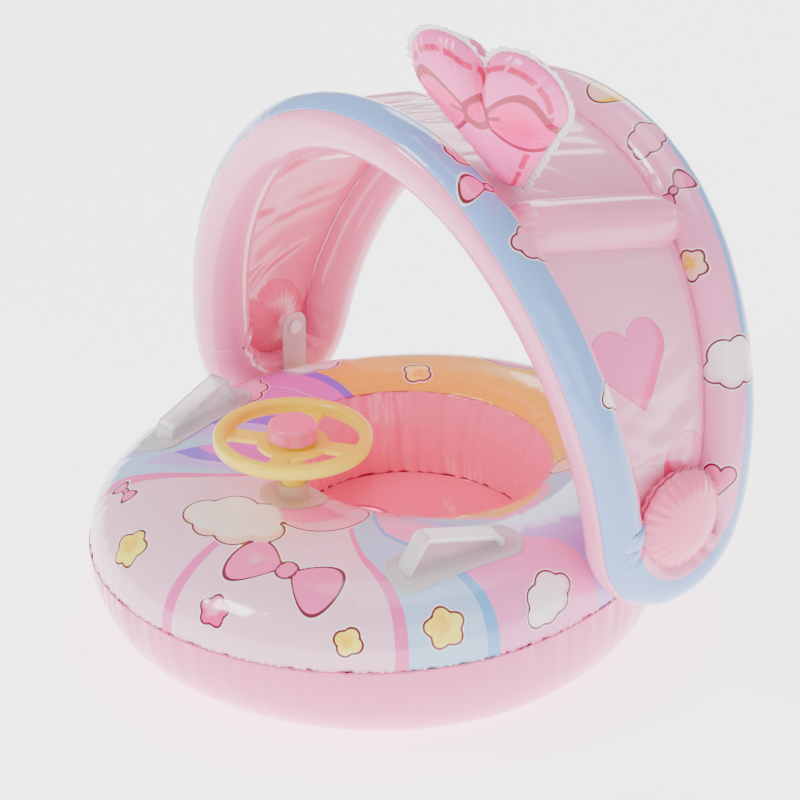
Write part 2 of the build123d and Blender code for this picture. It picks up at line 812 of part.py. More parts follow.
# The canopy's valve sits on the printed skin of the rear arch, on the right, facing back.
rear_arc = arch_arcs(*arches[1])[2]
canopy_spot = on_arc(rear_plane, rear_arc[0], rear_arc[1], 180 - canopy_valve_turn)
arc_middle = rear_plane.from_local_coords(Vector(rear_arc[0][0], rear_arc[0][1], 0))
out_dir = (canopy_spot - arc_middle).normalized()
valve_dir = (out_dir - rear_plane.z_dir).normalized()
along_dir = rear_plane.z_dir.cross(out_dir)
arc_axis = Axis(arc_middle, rear_plane.z_dir)
stretch = degrees(2 * valve_flange_radius / rear_arc[1])
section = Plane(canopy_spot, x_dir=out_dir, z_dir=along_dir)
tube_layers = []
for radius in (tube_radius + lay_gap, tube_radius + lay_gap + patch):
    with BuildPart() as layer:
        with BuildSketch(section) as disc:
            Circle(radius)
        revolve(disc.sketch.rotate(arc_axis, -stretch), axis=arc_axis, revolution_arc=2 * stretch)
    tube_layers.append(layer.part)
canopy_valve = Plane(canopy_spot + valve_dir * tube_radius, x_dir=along_dir, z_dir=valve_dir)
with BuildPart() as canopy_flange:
    with BuildSketch(canopy_valve):
        Circle(valve_flange_radius)
    extrude(amount=valve_flange_radius, both=True)
    add(tube_layers[1], mode=Mode.INTERSECT)
valve_parts(canopy_valve, canopy_flange.part, tube_layers[0], "canopy")

heart_back = heart_flange_thickness / 2 + weld_gap + heart_depth * sin(radians(68)) + lay_gap
heart_valve = Plane(
    heart_plane.from_local_coords((0, heart_middle, -heart_back)),
    x_dir=heart_plane.x_dir,
    z_dir=-heart_plane.z_dir,
)
with BuildPart() as heart_valve_flange:
    with BuildSketch(heart_valve):
        Circle(valve_flange_radius)
    extrude(amount=patch)
with BuildPart() as heart_under:
    with BuildSketch(heart_valve):
        Circle(2 * valve_flange_radius)
    extrude(amount=-valve_flange_radius)
valve_parts(heart_valve, heart_valve_flange.part, heart_under.part, "heart")
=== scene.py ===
# %% [markdown]
# A child's inflatable swim boat: two printed and plain plastic skins welded into a ring, a
# canopy on an inflated loop, a toy wheel with a horn, grab handles and a heart pillow.
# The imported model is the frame. Boxes and the tilt axis are read from it. Sizes that a box
# can't give, such as the tube's radius and the arches' rise, are repeated from the CAD.

# %% Load the frame
import json
import math
import bpy
import numpy as np
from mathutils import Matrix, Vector


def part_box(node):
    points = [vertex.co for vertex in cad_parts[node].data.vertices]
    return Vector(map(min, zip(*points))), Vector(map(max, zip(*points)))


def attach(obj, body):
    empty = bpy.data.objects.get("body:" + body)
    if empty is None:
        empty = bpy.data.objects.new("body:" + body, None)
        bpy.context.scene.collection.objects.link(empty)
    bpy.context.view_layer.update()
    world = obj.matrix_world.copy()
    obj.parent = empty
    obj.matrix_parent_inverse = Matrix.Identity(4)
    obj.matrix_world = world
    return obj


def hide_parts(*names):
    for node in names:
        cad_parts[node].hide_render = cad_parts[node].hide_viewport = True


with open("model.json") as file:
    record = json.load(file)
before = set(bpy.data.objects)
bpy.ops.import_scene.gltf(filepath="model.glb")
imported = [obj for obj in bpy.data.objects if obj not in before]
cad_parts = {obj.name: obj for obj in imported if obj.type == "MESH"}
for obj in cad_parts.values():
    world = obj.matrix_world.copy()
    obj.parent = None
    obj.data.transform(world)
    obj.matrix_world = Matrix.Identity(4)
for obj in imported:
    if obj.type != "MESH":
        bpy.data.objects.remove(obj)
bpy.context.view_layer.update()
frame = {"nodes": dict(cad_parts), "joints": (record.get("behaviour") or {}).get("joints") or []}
nodes = frame["nodes"]
print("nodes in the frame:", len(nodes))

# %% [markdown]
# The stage is a wide pale floor that glows a little, lit by large soft lights, as a product
# studio would be. The camera is long and far away, so lines stay nearly parallel.

# %% Camera, floor and light
camera_place = Vector((2.962, -2.659, 2.268))
camera_target = Vector((0.2913, -0.2489, 0.4448))


def in_scene(name, data):
    """A new object in the scene."""
    thing = bpy.data.objects.new(name, data)
    bpy.context.scene.collection.objects.link(thing)
    return thing


def aim(thing, place, target):
    """Puts a camera or a light somewhere and turns it towards a point."""
    thing.location = place
    thing.rotation_euler = (target - place).to_track_quat("-Z", "Y").to_euler()


camera = in_scene("camera", bpy.data.cameras.new("camera"))
camera.data.lens = 197.7
camera.data.sensor_width = 36
bpy.context.scene.camera = camera
aim(camera, camera_place, camera_target)


light_target = Vector((0, 0, 0.3))


def soft_light(name, place, size, power, tint=(1, 1, 1)):
    """A square area light that looks at the middle of the boat."""
    lamp = bpy.data.lights.new(name, "AREA")
    lamp.size, lamp.energy, lamp.color = size, power, tint
    aim(in_scene(name, lamp), Vector(place), light_target)


soft_light("key", (-0.9, -2.6, 2.6), 0.9, 82)
soft_light("fill", (3.0, -0.6, 1.4), 1.8, 20, (1.0, 0.97, 0.98))
soft_light("top", (0.2, 0.5, 3.2), 2.0, 34)
soft_light("rim", (-1.6, 2.6, 2.0), 1.4, 34)
world = bpy.data.worlds.new("studio")
world.use_nodes = True
studio_white = (1.0, 0.985, 0.99, 1)
background = world.node_tree.nodes["Background"].inputs
background["Color"].default_value = studio_white
background["Strength"].default_value = 0.75
bpy.context.scene.world = world

# %% [markdown]
# Shader maths reads better as sums than as boxes and wires. `Wire` wraps one output socket,
# so `1 - mask` or `a * b` adds the Math node by itself, and `Finish.node` makes any other
# node from its type, its settings and its inputs.

# %% A small shader language


def linear(code):
    """A colour written as #RRGGBB, as the linear numbers that a shader wants."""
    parts = [int(code[i:i + 2], 16) / 255 for i in (1, 3, 5)]
    return tuple(p / 12.92 if p < 0.04045 else ((p + 0.055) / 1.055) ** 2.4 for p in parts) + (1,)


class Wire:
    """One output socket that takes part in sums."""

    def __init__(self, finish, out):
        self.finish, self.out = finish, out

    def maths(self, operation, *values):
        return self.finish.node("Math", {"operation": operation}, dict(enumerate(values)))

    def __add__(self, other):
        return self.maths("ADD", self, other)

    def __sub__(self, other):
        return self.maths("SUBTRACT", self, other)

    def __rsub__(self, other):
        return self.maths("SUBTRACT", other, self)

    def __mul__(self, other):
        return self.maths("MULTIPLY", self, other)

    __radd__, __rmul__ = __add__, __mul__

    def below(self, edge, soft):
        """1 where the value is under the edge and 0 over it, with a soft step between."""
        return self.finish.node(
            "MapRange", {"interpolation_type": "SMOOTHSTEP"},
            {"Value": self, "From Min": edge - soft, "From Max": edge + soft, "To Min": 1.0,
             "To Max": 0.0})


class Finish:
    """A material that is built node by node."""

    def __init__(self, name, **constants):
        self.material = bpy.data.materials.new(name)
        self.material.use_nodes = True
        self.tree = self.material.node_tree
        self.shader = self.tree.nodes["Principled BSDF"]
        for socket, value in constants.items():
            self.shader.inputs[socket.replace("_", " ")].default_value = value

    def node(self, kind, settings=None, values=None, out=0):
        made = self.tree.nodes.new("ShaderNode" + kind)
        for name, value in (settings or {}).items():
            if name == "stops":
                made.color_ramp.interpolation = "CONSTANT"
                while len(made.color_ramp.elements) < len(value):
                    made.color_ramp.elements.new(1.0)
                for element, (place, colour) in zip(made.color_ramp.elements, value):
                    element.position, element.color = place, colour
            else:
                setattr(made, name, value)
        for key, value in (values or {}).items():
            if isinstance(value, Wire):
                self.tree.links.new(value.out, made.inputs[key])
            else:
                made.inputs[key].default_value = value
        return Wire(self, made.outputs[out])

    def drive(self, socket, wire):
        self.tree.links.new(wire.out, self.shader.inputs[socket])
        return self

    def mix(self, factor, low, high):
        """A colour between two others."""
        return self.node("Mix", {"data_type": "RGBA"}, {0: factor, 6: low, 7: high}, out=2)

    def place(self):
        return self.node("TexCoord", out=3)

    def noise(self, scale, detail=2.0, stretch=(1, 1, 1)):
        where = self.node("Mapping", values={"Vector": self.place(), "Scale": stretch})
        return self.node("TexNoise", values={"Vector": where, "Scale": scale, "Detail": detail})

    def field(self, name, colour=False):
        """A value that the mesh carries at its points."""
        return self.node("Attribute", {"attribute_name": name}, out=0 if colour else 2)

    def bump(self, height, distance, strength=1.0):
        relief = self.node(
            "Bump", values={"Height": height, "Distance": distance, "Strength": strength})
        return self.drive("Normal", relief)


# %% [markdown]
# Pool-toy vinyl is a smooth, slightly soft-looking film. Its gloss is uneven in two ways:
# a slow ripple where the air pressure doesn't quite pull it flat, and a fine grain from the
# calender rolls. Both are small, so they go in the bump and not in the mesh.

# %% Vinyl finishes


def vinyl(name, colour, ripple=0.0006, gloss=0.13, **constants):
    """Glossy welded film: base colour with slow patches, ripple and grain."""
    constants = {"IOR": 1.5, "Coat_Weight": 0.6, "Coat_Roughness": 0.05} | constants
    made = Finish(name, **constants)
    patches = made.noise(9, 3)
    if not isinstance(colour, tuple):
        colour = colour(made)
        shade = made.mix(patches, (0.97, 0.95, 0.96, 1), (1.0, 1.0, 1.0, 1))
        tinted = made.node("Mix", {"data_type": "RGBA", "blend_type": "MULTIPLY"},
                           {0: 1.0, 6: colour, 7: shade}, out=2)
    else:
        tinted = made.mix(patches, tuple(c * 0.95 for c in colour[:3]) + (1,), colour)
    made.drive("Base Color", tinted)
    made.drive("Roughness", made.noise(140, 2) * 0.08 + gloss)
    made.bump(made.noise(16, 2) + made.noise(900, 1) * 0.03, ripple)
    return made


skin_pink = vinyl("skin_pink", linear("#F474AE"))
wall_pink = vinyl("wall_pink", linear("#FF6E9C"))
sling_pink = vinyl("sling_pink", linear("#FF5C90"), gloss=0.3)
tube_pink = vinyl("tube_pink", linear("#FF93C2"))
pillow_pink = vinyl("pillow_pink", linear("#FF6A9C"))
weld_pink = vinyl("weld_pink", linear("#D8407C"), ripple=0.0002)

# %% [markdown]
# The prints are flat shapes with an outline and a pale halo. Each mesh carries the signed
# distance to the nearest shape at its points, negative inside. Distances stay straight
# between neighbouring points, so a step in the material cuts a crisp edge from a fairly
# coarse mesh, which stored colours alone could not do.

# %% Shapes as signed distances


def ball(x, y, cx=0.0, cy=0.0, r=1.0):
    return np.hypot(x - cx, y - cy) - r


def star(x, y, points=5, dent=0.24):
    """A plump star: a circle whose radius swells once for each point."""
    turn = np.arctan2(x, y)
    swell = 1 - dent + dent * np.abs(np.cos(points * turn / 2)) ** 1.3
    return (np.hypot(x, y) - swell) * 0.85


def flower(x, y):
    turn = np.arctan2(x, y) + math.pi / 4
    return (np.hypot(x, y) - 0.74 - 0.26 * np.abs(np.cos(2 * turn)) ** 0.8) * 0.85


def cloud(x, y):
    puffs = ((-0.62, -0.1, 0.38), (-0.25, 0.25, 0.42), (0.3, 0.28, 0.45), (0.68, -0.05, 0.34),
             (0.25, -0.25, 0.42), (-0.25, -0.28, 0.38))
    return np.min([ball(x, y, *puff) for puff in puffs], axis=0)


def heart(x, y):
    """Two lobes and a point, wide at the top."""
    x = np.abs(x)
    lobe = ball(x, y, 0.46, 0.36, 0.5)
    side = 0.7436 * x - 0.6686 * (y + 0.9)
    cheek = 0.668 * (x - 0.832) + 0.744 * (y - 0.026)
    return np.minimum(lobe, np.maximum(np.maximum(side, cheek), y - 0.5))


def bow(x, y):
    """Two tilted loops and a round knot."""
    u = np.abs(x)
    v = y + 0.10 * u
    loop = np.hypot((u - 0.58) / 0.44, v / (0.16 + 0.50 * np.clip(u, 0, 1))) - 1
    return np.minimum(loop * 0.36, ball(x, y, 0, 0, 0.19))


def bow_lines(x, y):
    """The knot's outline and two creases on each loop."""
    knot = np.abs(ball(x, y, 0, 0, 0.17)) - 0.02
    u = np.abs(x)
    crease = np.abs(y - 0.25 * (u - 0.2)) - 0.012 + 10 * np.maximum(np.abs(u - 0.3) - 0.1, 0)
    return np.minimum(knot, crease)


shapes = {"star": star, "flower": flower, "cloud": cloud, "heart": heart, "bow": bow,
          "disc": ball}
far_away = 1.0


def decorate(mesh, grid, motifs):
    """Adds the distance and colour fields of motifs to a skin's mesh.

    A motif is (shape, column share, row share, size, turn in degrees, fill, second fill).
    """
    rows, columns = grid.shape[:2]
    edge = np.full((rows, columns), far_away)
    lines = np.full((rows, columns), far_away)
    shine = np.full((rows, columns), far_away)
    fills = np.ones((rows, columns, 2, 4))
    for shape, across, up, size, turn, fill, second in motifs:
        row, column = int(round(up * (rows - 1))), int(round(across * columns)) % columns
        middle = grid[row, column]
        x_dir = grid[row, (column + 2) % columns] - grid[row, (column - 2) % columns]
        y_dir = grid[min(row + 2, rows - 1), column] - grid[max(row - 2, 0), column]
        x_dir = x_dir / np.linalg.norm(x_dir)
        normal = np.cross(x_dir, y_dir)
        normal /= np.linalg.norm(normal)
        y_dir = np.cross(normal, x_dir)
        away = grid - middle
        x, y = away @ x_dir, away @ y_dir
        reach = np.linalg.norm(away, axis=2) / np.maximum(np.hypot(x, y), 1e-6)
        c, s = math.cos(math.radians(turn)), math.sin(math.radians(turn))
        x, y = (x * c + y * s) * reach / size, (y * c - x * s) * reach / size
        found = shapes[shape](x, y) * size
        found = np.where(np.linalg.norm(away, axis=2) > 2.5 * size, far_away, found)
        nearer = found < edge
        edge = np.where(nearer, found, edge)
        fills[nearer] = (fill, second)
        inner = bow_lines(x, y) * size if shape == "bow" else np.full_like(x, far_away)
        lines = np.where(nearer, inner, lines)
        if shape == "disc":
            gleam = -ball(x, y, -0.45, 0.15) * size
        elif shape in ("heart", "cloud"):
            gleam = -shapes[shape](x + 0.14, y - 0.14) * size
        else:
            gleam = found + 0.42 * size + 0.25 * size * (x - y)
        shine = np.where(nearer, gleam, shine)
    carry(mesh, edge=edge, lines=lines, shine=shine)
    for index, name in enumerate(("fill", "second")):
        layer = mesh.attributes.new(name, "FLOAT_COLOR", "POINT")
        layer.data.foreach_set("color", fills[:, :, index].ravel())
    print(mesh.name, "carries", len(motifs), "printed shapes")


def printed(name, stops, outline="#6E0A28", halo=0.0022, pen=0.0011):
    """Vinyl with colour zones from a ramp and outlined shapes from the distance fields."""
    def colours(made):
        zone = made.node("ValToRGB", {"stops": stops}, {"Fac": made.field("zone")})
        edge = made.field("edge")
        inside = made.mix(made.field("shine").below(0, 0.0035), made.field("fill", True),
                          made.field("second", True))
        tone = made.mix(edge.below(halo, 0.0005), zone, linear("#FFF6FA"))
        tone = made.mix(edge.below(pen, 0.0004), tone, linear(outline))
        tone = made.mix(edge.below(-pen, 0.0004), tone, inside)
        return made.mix(made.field("lines").below(0.0, 0.0004), tone, linear(outline))
    return vinyl(name, colours)


# %% [markdown]
# A skin is a grid of points: rows across it and columns along it. Grids make the welded
# skins easy to bend, pleat and print, because every point knows where it is on the sheet.

# %% Skins from grids of points
film = 0.0008


def thicken(piece, wall):
    """Gives a sheet its thickness, inwards."""
    solid = piece.modifiers.new("wall", "SOLIDIFY")
    solid.thickness, solid.offset = wall, -1


def close_seam(piece, distance=0.00002):
    """Joins the points that lie together where a grid closes on itself."""
    piece.modifiers.new("close", "WELD").merge_threshold = distance


def carry(mesh, **fields):
    """Values that the mesh carries at its points."""
    for name, values in fields.items():
        layer = mesh.attributes.new(name, "FLOAT", "POINT")
        layer.data.foreach_set("value", values.ravel())


def skin_piece(name, grid, outwards, closed=True, wall=film):
    """A smooth mesh from a grid. outwards is a point inside, or a field of directions."""
    rows, columns = grid.shape[:2]
    index = np.arange(rows * columns).reshape(rows, columns)
    right = np.roll(index, -1, axis=1) if closed else index[:, 1:]
    left = index if closed else index[:, :-1]
    quads = np.stack([left[:-1], right[:-1], right[1:], left[1:]], axis=-1).reshape(-1, 4)
    points = grid.reshape(-1, 3)
    normal = np.cross(points[quads[:, 2]] - points[quads[:, 0]],
                      points[quads[:, 3]] - points[quads[:, 1]])
    field = np.broadcast_to(outwards, grid.shape).reshape(-1, 3)[quads[:, 0]]
    if np.sum(normal * field) < 0:
        quads = quads[:, ::-1]
    mesh = bpy.data.meshes.new(name)
    mesh.from_pydata(points.tolist(), [], quads.tolist())
    mesh.shade_smooth()
    piece = in_scene(name, mesh)
    if wall:
        thicken(piece, wall)
    return piece


def finish_piece(piece, finish, body, slot, *replaced):
    """Material, body and the CAD nodes that a piece stands for; slot is not used."""
    piece.data.materials.clear()
    piece.data.materials.append(finish.material)
    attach(piece, body)
    if replaced:
        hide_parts(*replaced)


def pleats(along, length, seed, count, depth, width, reach, distance):
    """Creases that run in from a weld: along and distance are fields over the grid."""
    random = np.random.default_rng(seed)
    total = np.zeros(np.broadcast(along, distance).shape)
    for place in (np.arange(count) + random.uniform(0.1, 0.9, count)) * length / count:
        strength = random.uniform(0.3, 1.0)
        away = (along - place + length / 2) % length - length / 2
        run = reach * random.uniform(0.5, 1.4)
        total += strength * np.exp(-(away / width) ** 2 - distance / run)
    return -depth * total


# %% [markdown]
# The ring's outline changes from the rim of the seat well to the outer weld: each is two
# half ellipses, and a share from 0 to 1 blends one into the other. The deck rises from the
# weld over the crest and falls a little to the rim.

# %% Ring sizes from the frame
top_low, top_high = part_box("float_top_skin")
wall_low, wall_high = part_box("cockpit_wall")
sling_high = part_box("seat_sling")[1]
ring_half_width, ring_half_length = top_high[0], top_high[1]
seam_height, deck_height = top_low[2], top_high[2]
rim_half_width, rim_height = wall_high[0], wall_high[2]
rim_half_length = (wall_high[1] - wall_low[1]) / 2
rim_middle_y = (wall_high[1] + wall_low[1]) / 2
sling_height = sling_high[2]
sling_inset = rim_half_width - sling_high[0]
ring_widest_y = -0.04
crest_share, deck_fullness, belly_fullness, contact_share = 0.3, 2.4, 2.2, 0.45
ring_columns = 600
turns = np.linspace(0, 2 * math.pi, ring_columns, endpoint=False)
print("ring", round(2 * ring_half_width, 3), "by", round(2 * ring_half_length, 3))


def ring_grid(profile, turn=turns):
    """Points of the ring at (share, inset, height) rows."""
    share, inset, height = (np.asarray(row)[:, None] for row in zip(*profile))
    half = rim_half_width + (ring_half_width - rim_half_width) * share - inset
    widest = rim_middle_y + (ring_widest_y - rim_middle_y) * share
    front = rim_middle_y - rim_half_length
    front = front + (-ring_half_length - front) * share + inset
    rear = rim_middle_y + rim_half_length
    rear = rear + (ring_half_length - rear) * share - inset
    reach = np.where(np.sin(turn) > 0, rear - widest, widest - front)
    x, y = half * np.cos(turn), widest + reach * np.sin(turn)
    return np.stack([x, y, np.broadcast_to(height, x.shape)], axis=2)


def even(profile, count):
    """The same profile with rows evenly spaced along it."""
    profile = np.array(profile)
    step = np.hypot(np.diff(profile[:, 0]) * 0.155 - np.diff(profile[:, 1]),
                    np.diff(profile[:, 2]))
    length = np.concatenate([[0], np.cumsum(step)])
    places = np.linspace(0, length[-1], count)
    return np.stack([np.interp(places, length, profile[:, k]) for k in range(3)], axis=1)


def shoulder(top, bottom, fullness, crest, count=60):
    """(share, inset, height) rows over a rounded shoulder, from the weld at share 1."""
    rows = []
    for turn in np.linspace(0, math.pi / 2, count):
        across = max(math.cos(turn), 0) ** (2 / fullness)
        rows.append((crest + (1 - crest) * across, 0, bottom + (top - bottom)
                     * math.sin(turn) ** (2 / fullness)))
    return rows


def surface_normals(grid, closed=True):
    """Unit normals of a grid."""
    if closed:
        along = np.roll(grid, -1, axis=1) - np.roll(grid, 1, axis=1)
    else:
        along = np.gradient(grid, axis=1)
    normal = np.cross(along, np.gradient(grid, axis=0))
    return normal / np.maximum(np.linalg.norm(normal, axis=2, keepdims=True), 1e-12)


def row_distance(grid):
    """How far each point is from the first row, along its column."""
    step = np.linalg.norm(np.diff(grid, axis=0), axis=2)
    return np.concatenate([np.zeros((1, grid.shape[1])), np.cumsum(step, axis=0)])


def column_distance(grid):
    """How far each column is along the first row, and the row's full length."""
    step = np.linalg.norm(np.roll(grid[0], -1, axis=0) - grid[0], axis=1)
    return np.concatenate([[0], np.cumsum(step)[:-1]]), step.sum()


# %% [markdown]
# The printed deck. Where two curved skins meet in a weld the film has more length than the
# weld, so it gathers in short pleats that fade out up the side. They are part of the mesh.

# %% Printed deck
deck_profile = shoulder(deck_height, seam_height, deck_fullness, crest_share)
for back in np.linspace(0, 1, 20)[1:]:
    deck_profile.append((crest_share * (1 - back), 0, deck_height
                         - (deck_height - rim_height) * back ** 2))
deck_grid = ring_grid(even(deck_profile, 72))
deck_normals = surface_normals(deck_grid)
deck_up = row_distance(deck_grid)
deck_along, seam_length = column_distance(deck_grid)
rise = pleats(deck_along, seam_length, 3, 130, 0.0026, 0.0050, 0.022, deck_up)
rise += pleats(deck_along, seam_length, 5, 26, 0.0018, 0.009, 0.055, deck_up)
rim_along, rim_length = column_distance(deck_grid[::-1])
rise += pleats(rim_along, rim_length, 7, 60, 0.0009, 0.004, 0.012, (deck_up[-1] - deck_up))
deck_grid = deck_grid + deck_normals * np.where(deck_normals[30, 0, 2] > 0, 1, -1) * rise[..., None]
deck_skin = skin_piece("deck_skin", deck_grid, (0, 0, 1))

pale, stripe = linear("#FBC2DC"), linear("#F25FB0")
sky, sky_line = linear("#A9CDF5"), linear("#62A8E8")
candy, amber = linear("#FA8CCB"), linear("#F2BA00")
lilac, violet, orchid = linear("#BFA2F2"), linear("#7E55E0"), linear("#DD55CE")
# Colour zones round the deck: where each starts, in degrees from the left side.
zones = ((-180, orchid), (-158, violet), (-150, lilac), (-141, sky), (-136, stripe), (-132, pale),
         (-87.5, stripe), (-84.5, pale), (-36.5, stripe), (-33.5, sky), (-16, sky_line),
         (-13.5, candy), (10, lilac), (17, sky), (27, candy), (33, amber), (164, violet),
         (168, orchid))


degrees_round = (np.degrees(turns) + 180) % 360 - 180
up_share = deck_up / deck_up[-1]
lean = np.clip((degrees_round + 88) / 40, -1, 1) * np.clip((24 - degrees_round) / 34, 0, 1)
lean = lean * (degrees_round > -135)
zone = (degrees_round + 78 * up_share ** 2.6 * lean + 180) / 360
zone_field = np.clip(np.broadcast_to(zone, deck_up.shape), 0.0, 0.9999)
carry(deck_skin.data, zone=zone_field)

white, peach, rose = linear("#FFF0F4"), linear("#FFC3B0"), linear("#FF68B0")
lemon, gold, blush = linear("#FFF25A"), linear("#FFCB00"), linear("#FD9CCB")
hot, cream = linear("#F5388E"), linear("#FFEFE6")


def motif(shape, degrees, up, size, turn=0, fill=white, second=None):
    """One printed shape, at degrees round the ring from its left side."""
    return (shape, (degrees % 360) / 360, up, size, turn, fill, second or fill)


deck_print = [
    motif("disc", -75, 0.85, 0.047, 0, rose, blush),
    motif("cloud", -90, 0.6, 0.058, 10, cream, peach),
    motif("bow", -65, 0.45, 0.061, -12, rose, blush),
    motif("star", -105, 0.25, 0.022, 14, lemon, gold),
    motif("bow", -125, 0.35, 0.019, 15, rose, blush),
    motif("star", -75, 0.2, 0.017, 0, hot, blush),
    motif("flower", -45, 0.15, 0.015, 20, lemon, gold),
    motif("star", -25, 0.2, 0.0215, 8, lemon, gold),
    motif("cloud", 0, 0.2, 0.033, 25, white, pale),
    motif("flower", 135, 0.85, 0.0155, 10, lemon, amber),
    motif("disc", 35, 0.9, 0.017, 0, peach, amber),
    motif("cloud", 135, 0.4, 0.045, 0, cream, peach),
    motif("cloud", 160, 0.5, 0.040, -10, white, blush),
    motif("cloud", -175, 0.6, 0.036, 20, blush, rose),
    motif("star", 150, 0.35, 0.017, 0, hot, rose),
    motif("disc", 110, 0.35, 0.05, 0, candy, rose),
    motif("cloud", 85, 0.45, 0.042, 0, white, blush),
    motif("star", 65, 0.3, 0.02, 10, lemon, gold),
    motif("bow", 95, 0.2, 0.03, 0, rose, blush),
    motif("flower", 60, 0.75, 0.015, 0, lemon, amber),
    motif("cloud", 45, 0.2, 0.032, 0, white, blush),
    motif("star", 140, 0.15, 0.018, 0, lemon, gold),
    motif("cloud", 170, 0.2, 0.036, 0, white, pale),
    motif("flower", -155, 0.2, 0.016, 0, lemon, gold),
    motif("heart", -140, 0.15, 0.018, 0, hot, rose),
    motif("heart", 20, 0.15, 0.014, 0, hot, rose),
]
decorate(deck_skin.data, deck_grid, deck_print)
deck_finish = printed("deck_print", [((start + 180) / 360, colour) for start, colour in zones])
finish_piece(deck_skin, deck_finish, "float", "printed_pvc", "float_top_skin")

# %% [markdown]
# The plain lower skin, the inner wall and the seat sling are the other three sheets of the
# ring. The wall creases up and down between its two welds, most of all at the tight ends.

# %% Belly, well, wall and sling
belly_profile = [(share, 0, seam_height - 0.0003 - (height - seam_height))
                 for share, _, height in shoulder(2 * seam_height - 0.0003, seam_height,
                                                  belly_fullness, contact_share)]
belly_grid = ring_grid(even(belly_profile, 56))
belly_normals = surface_normals(belly_grid)
belly_down = row_distance(belly_grid)
rise = pleats(deck_along, seam_length, 11, 110, 0.0034, 0.0058, 0.034, belly_down)
rise += pleats(deck_along, seam_length, 12, 22, 0.002, 0.010, 0.05, belly_down)
sense = np.where(belly_normals[20, 0, 0] > 0, 1, -1)
rise *= np.clip((belly_grid[..., 2] - 0.002) / 0.03, 0, 1)
belly_grid = belly_grid + belly_normals * sense * rise[..., None]
away_from_middle = np.array((1, 1, 0)) * belly_grid
belly_skin = skin_piece("belly_skin", belly_grid, away_from_middle)
finish_piece(belly_skin, skin_pink, "float", "pink_pvc", "float_bottom_skin")

well_flare = 0.05
well_rows = []
for turn in np.linspace(0, math.pi / 2, 26):
    well_rows.append((0, sling_inset - well_flare * (1 - math.cos(turn)),
                      sling_height * (1 - math.sin(turn))))
well_rows.append((contact_share, 0, 0.0))
well_grid = ring_grid(even(well_rows, 34))
well_skin = skin_piece("well_skin", well_grid, -away_from_middle[:1] * np.ones(well_grid.shape))
finish_piece(well_skin, skin_pink, "float", "pink_pvc")

wall_rows = []
for down in np.linspace(0, 1, 40):
    swell = sling_inset * down + 0.009 * math.sin(math.pi * down)
    wall_rows.append((0, swell, rim_height - (rim_height - sling_height) * down))
wall_grid = ring_grid(even(wall_rows, 40))
wall_normals = surface_normals(wall_grid)
wall_down = row_distance(wall_grid)
wall_along, wall_length = column_distance(wall_grid)
rise = pleats(wall_along, wall_length, 21, 70, 0.0016, 0.004, 0.02, wall_down)
rise += pleats(wall_along, wall_length, 22, 46, 0.003, 0.006, 0.05,
               np.abs(wall_down - wall_down[-1] / 2))
rise += pleats(wall_along, wall_length, 23, 60, 0.0016, 0.004, 0.02, wall_down[-1] - wall_down)
to_axis = -wall_grid * np.array((1, 1, 0)) + np.array((0, rim_middle_y, 0))
sense = np.sign(np.sum(wall_normals * to_axis))
wall_grid = wall_grid + wall_normals * sense * rise[..., None]
wall_skin = skin_piece("wall_skin", wall_grid, to_axis)
finish_piece(wall_skin, wall_pink, "float", "pink_pvc", "cockpit_wall")

# %% [markdown]
# The sling is one flat film with two leg holes. A grid can't hold holes neatly, so its
# outline and the two hem rings are cut by a boolean-free fill: the faces inside a hole are
# simply not made, and each hole's edge is then drawn by its own welded hem.

# %% Seat sling with leg holes
hole_half = np.array((0.036, 0.045))
hole_middle = np.array((0.050, -0.010))
outline = ring_grid([(0, sling_inset + 0.0004, sling_height)])[0]
hole_turn = np.linspace(0, 2 * math.pi, 120, endpoint=False)


def hole_loop(side, grow=0.0):
    x = side * hole_middle[0] + (hole_half[0] + grow) * np.cos(hole_turn)
    y = hole_middle[1] + (hole_half[1] + grow) * np.sin(hole_turn)
    return np.stack([x, y, np.full_like(x, sling_height)], axis=1)


def add_loop(curve, loop):
    """A closed line of points on a curve."""
    spline = curve.splines.new("POLY")
    spline.points.add(len(loop) - 1)
    for point, place in zip(spline.points, loop):
        point.co = (*place, 1)
    spline.use_cyclic_u = True


def as_mesh(holder, name):
    """A new piece with the mesh that a curve object makes, in the curve's stead."""
    bpy.context.view_layer.update()
    mesh = bpy.data.meshes.new_from_object(holder.evaluated_get(
        bpy.context.evaluated_depsgraph_get()))
    bpy.data.objects.remove(holder)
    mesh.name = name
    return in_scene(name, mesh)


def filled(name, loops):
    """A flat face with holes, filled from its outlines."""
    curve = bpy.data.curves.new(name, "CURVE")
    curve.dimensions, curve.fill_mode = "2D", "BOTH"
    for loop in loops:
        add_loop(curve, loop * (1, 1, 0))
    return as_mesh(in_scene(name, curve), name)


sling_wall = 0.0011
sling = filled("sling", [outline[::3], hole_loop(1), hole_loop(-1)])
for vertex in sling.data.vertices:
    vertex.co.z = sling_height
thicken(sling, sling_wall)
finish_piece(sling, sling_pink, "float", "pink_pvc", "seat_sling")


def hem_ring(name, loop, width, finish, body, slot, thick=0.0016):
    """A flat welded bead that follows a closed line of points."""
    ahead = np.roll(loop, -1, axis=0) - np.roll(loop, 1, axis=0)
    ahead /= np.linalg.norm(ahead, axis=1, keepdims=True)
    side = np.cross(ahead, (0, 0, 1))
    rows = [loop + side * (width / 2 * math.cos(t)) + np.array((0, 0, thick / 2 * math.sin(t)))
            for t in np.linspace(0, 2 * math.pi, 9)]
    grid = np.array(rows)
    piece = skin_piece(name, grid, grid - loop, wall=0)
    close_seam(piece, 0.00001)
    finish_piece(piece, finish, body, slot)


hem_ring("leg_hem_left", hole_loop(1, 0.001), 0.005, weld_pink, "float", "pink_pvc")
hem_ring("leg_hem_right", hole_loop(-1, 0.001), 0.005, weld_pink, "float", "pink_pvc")

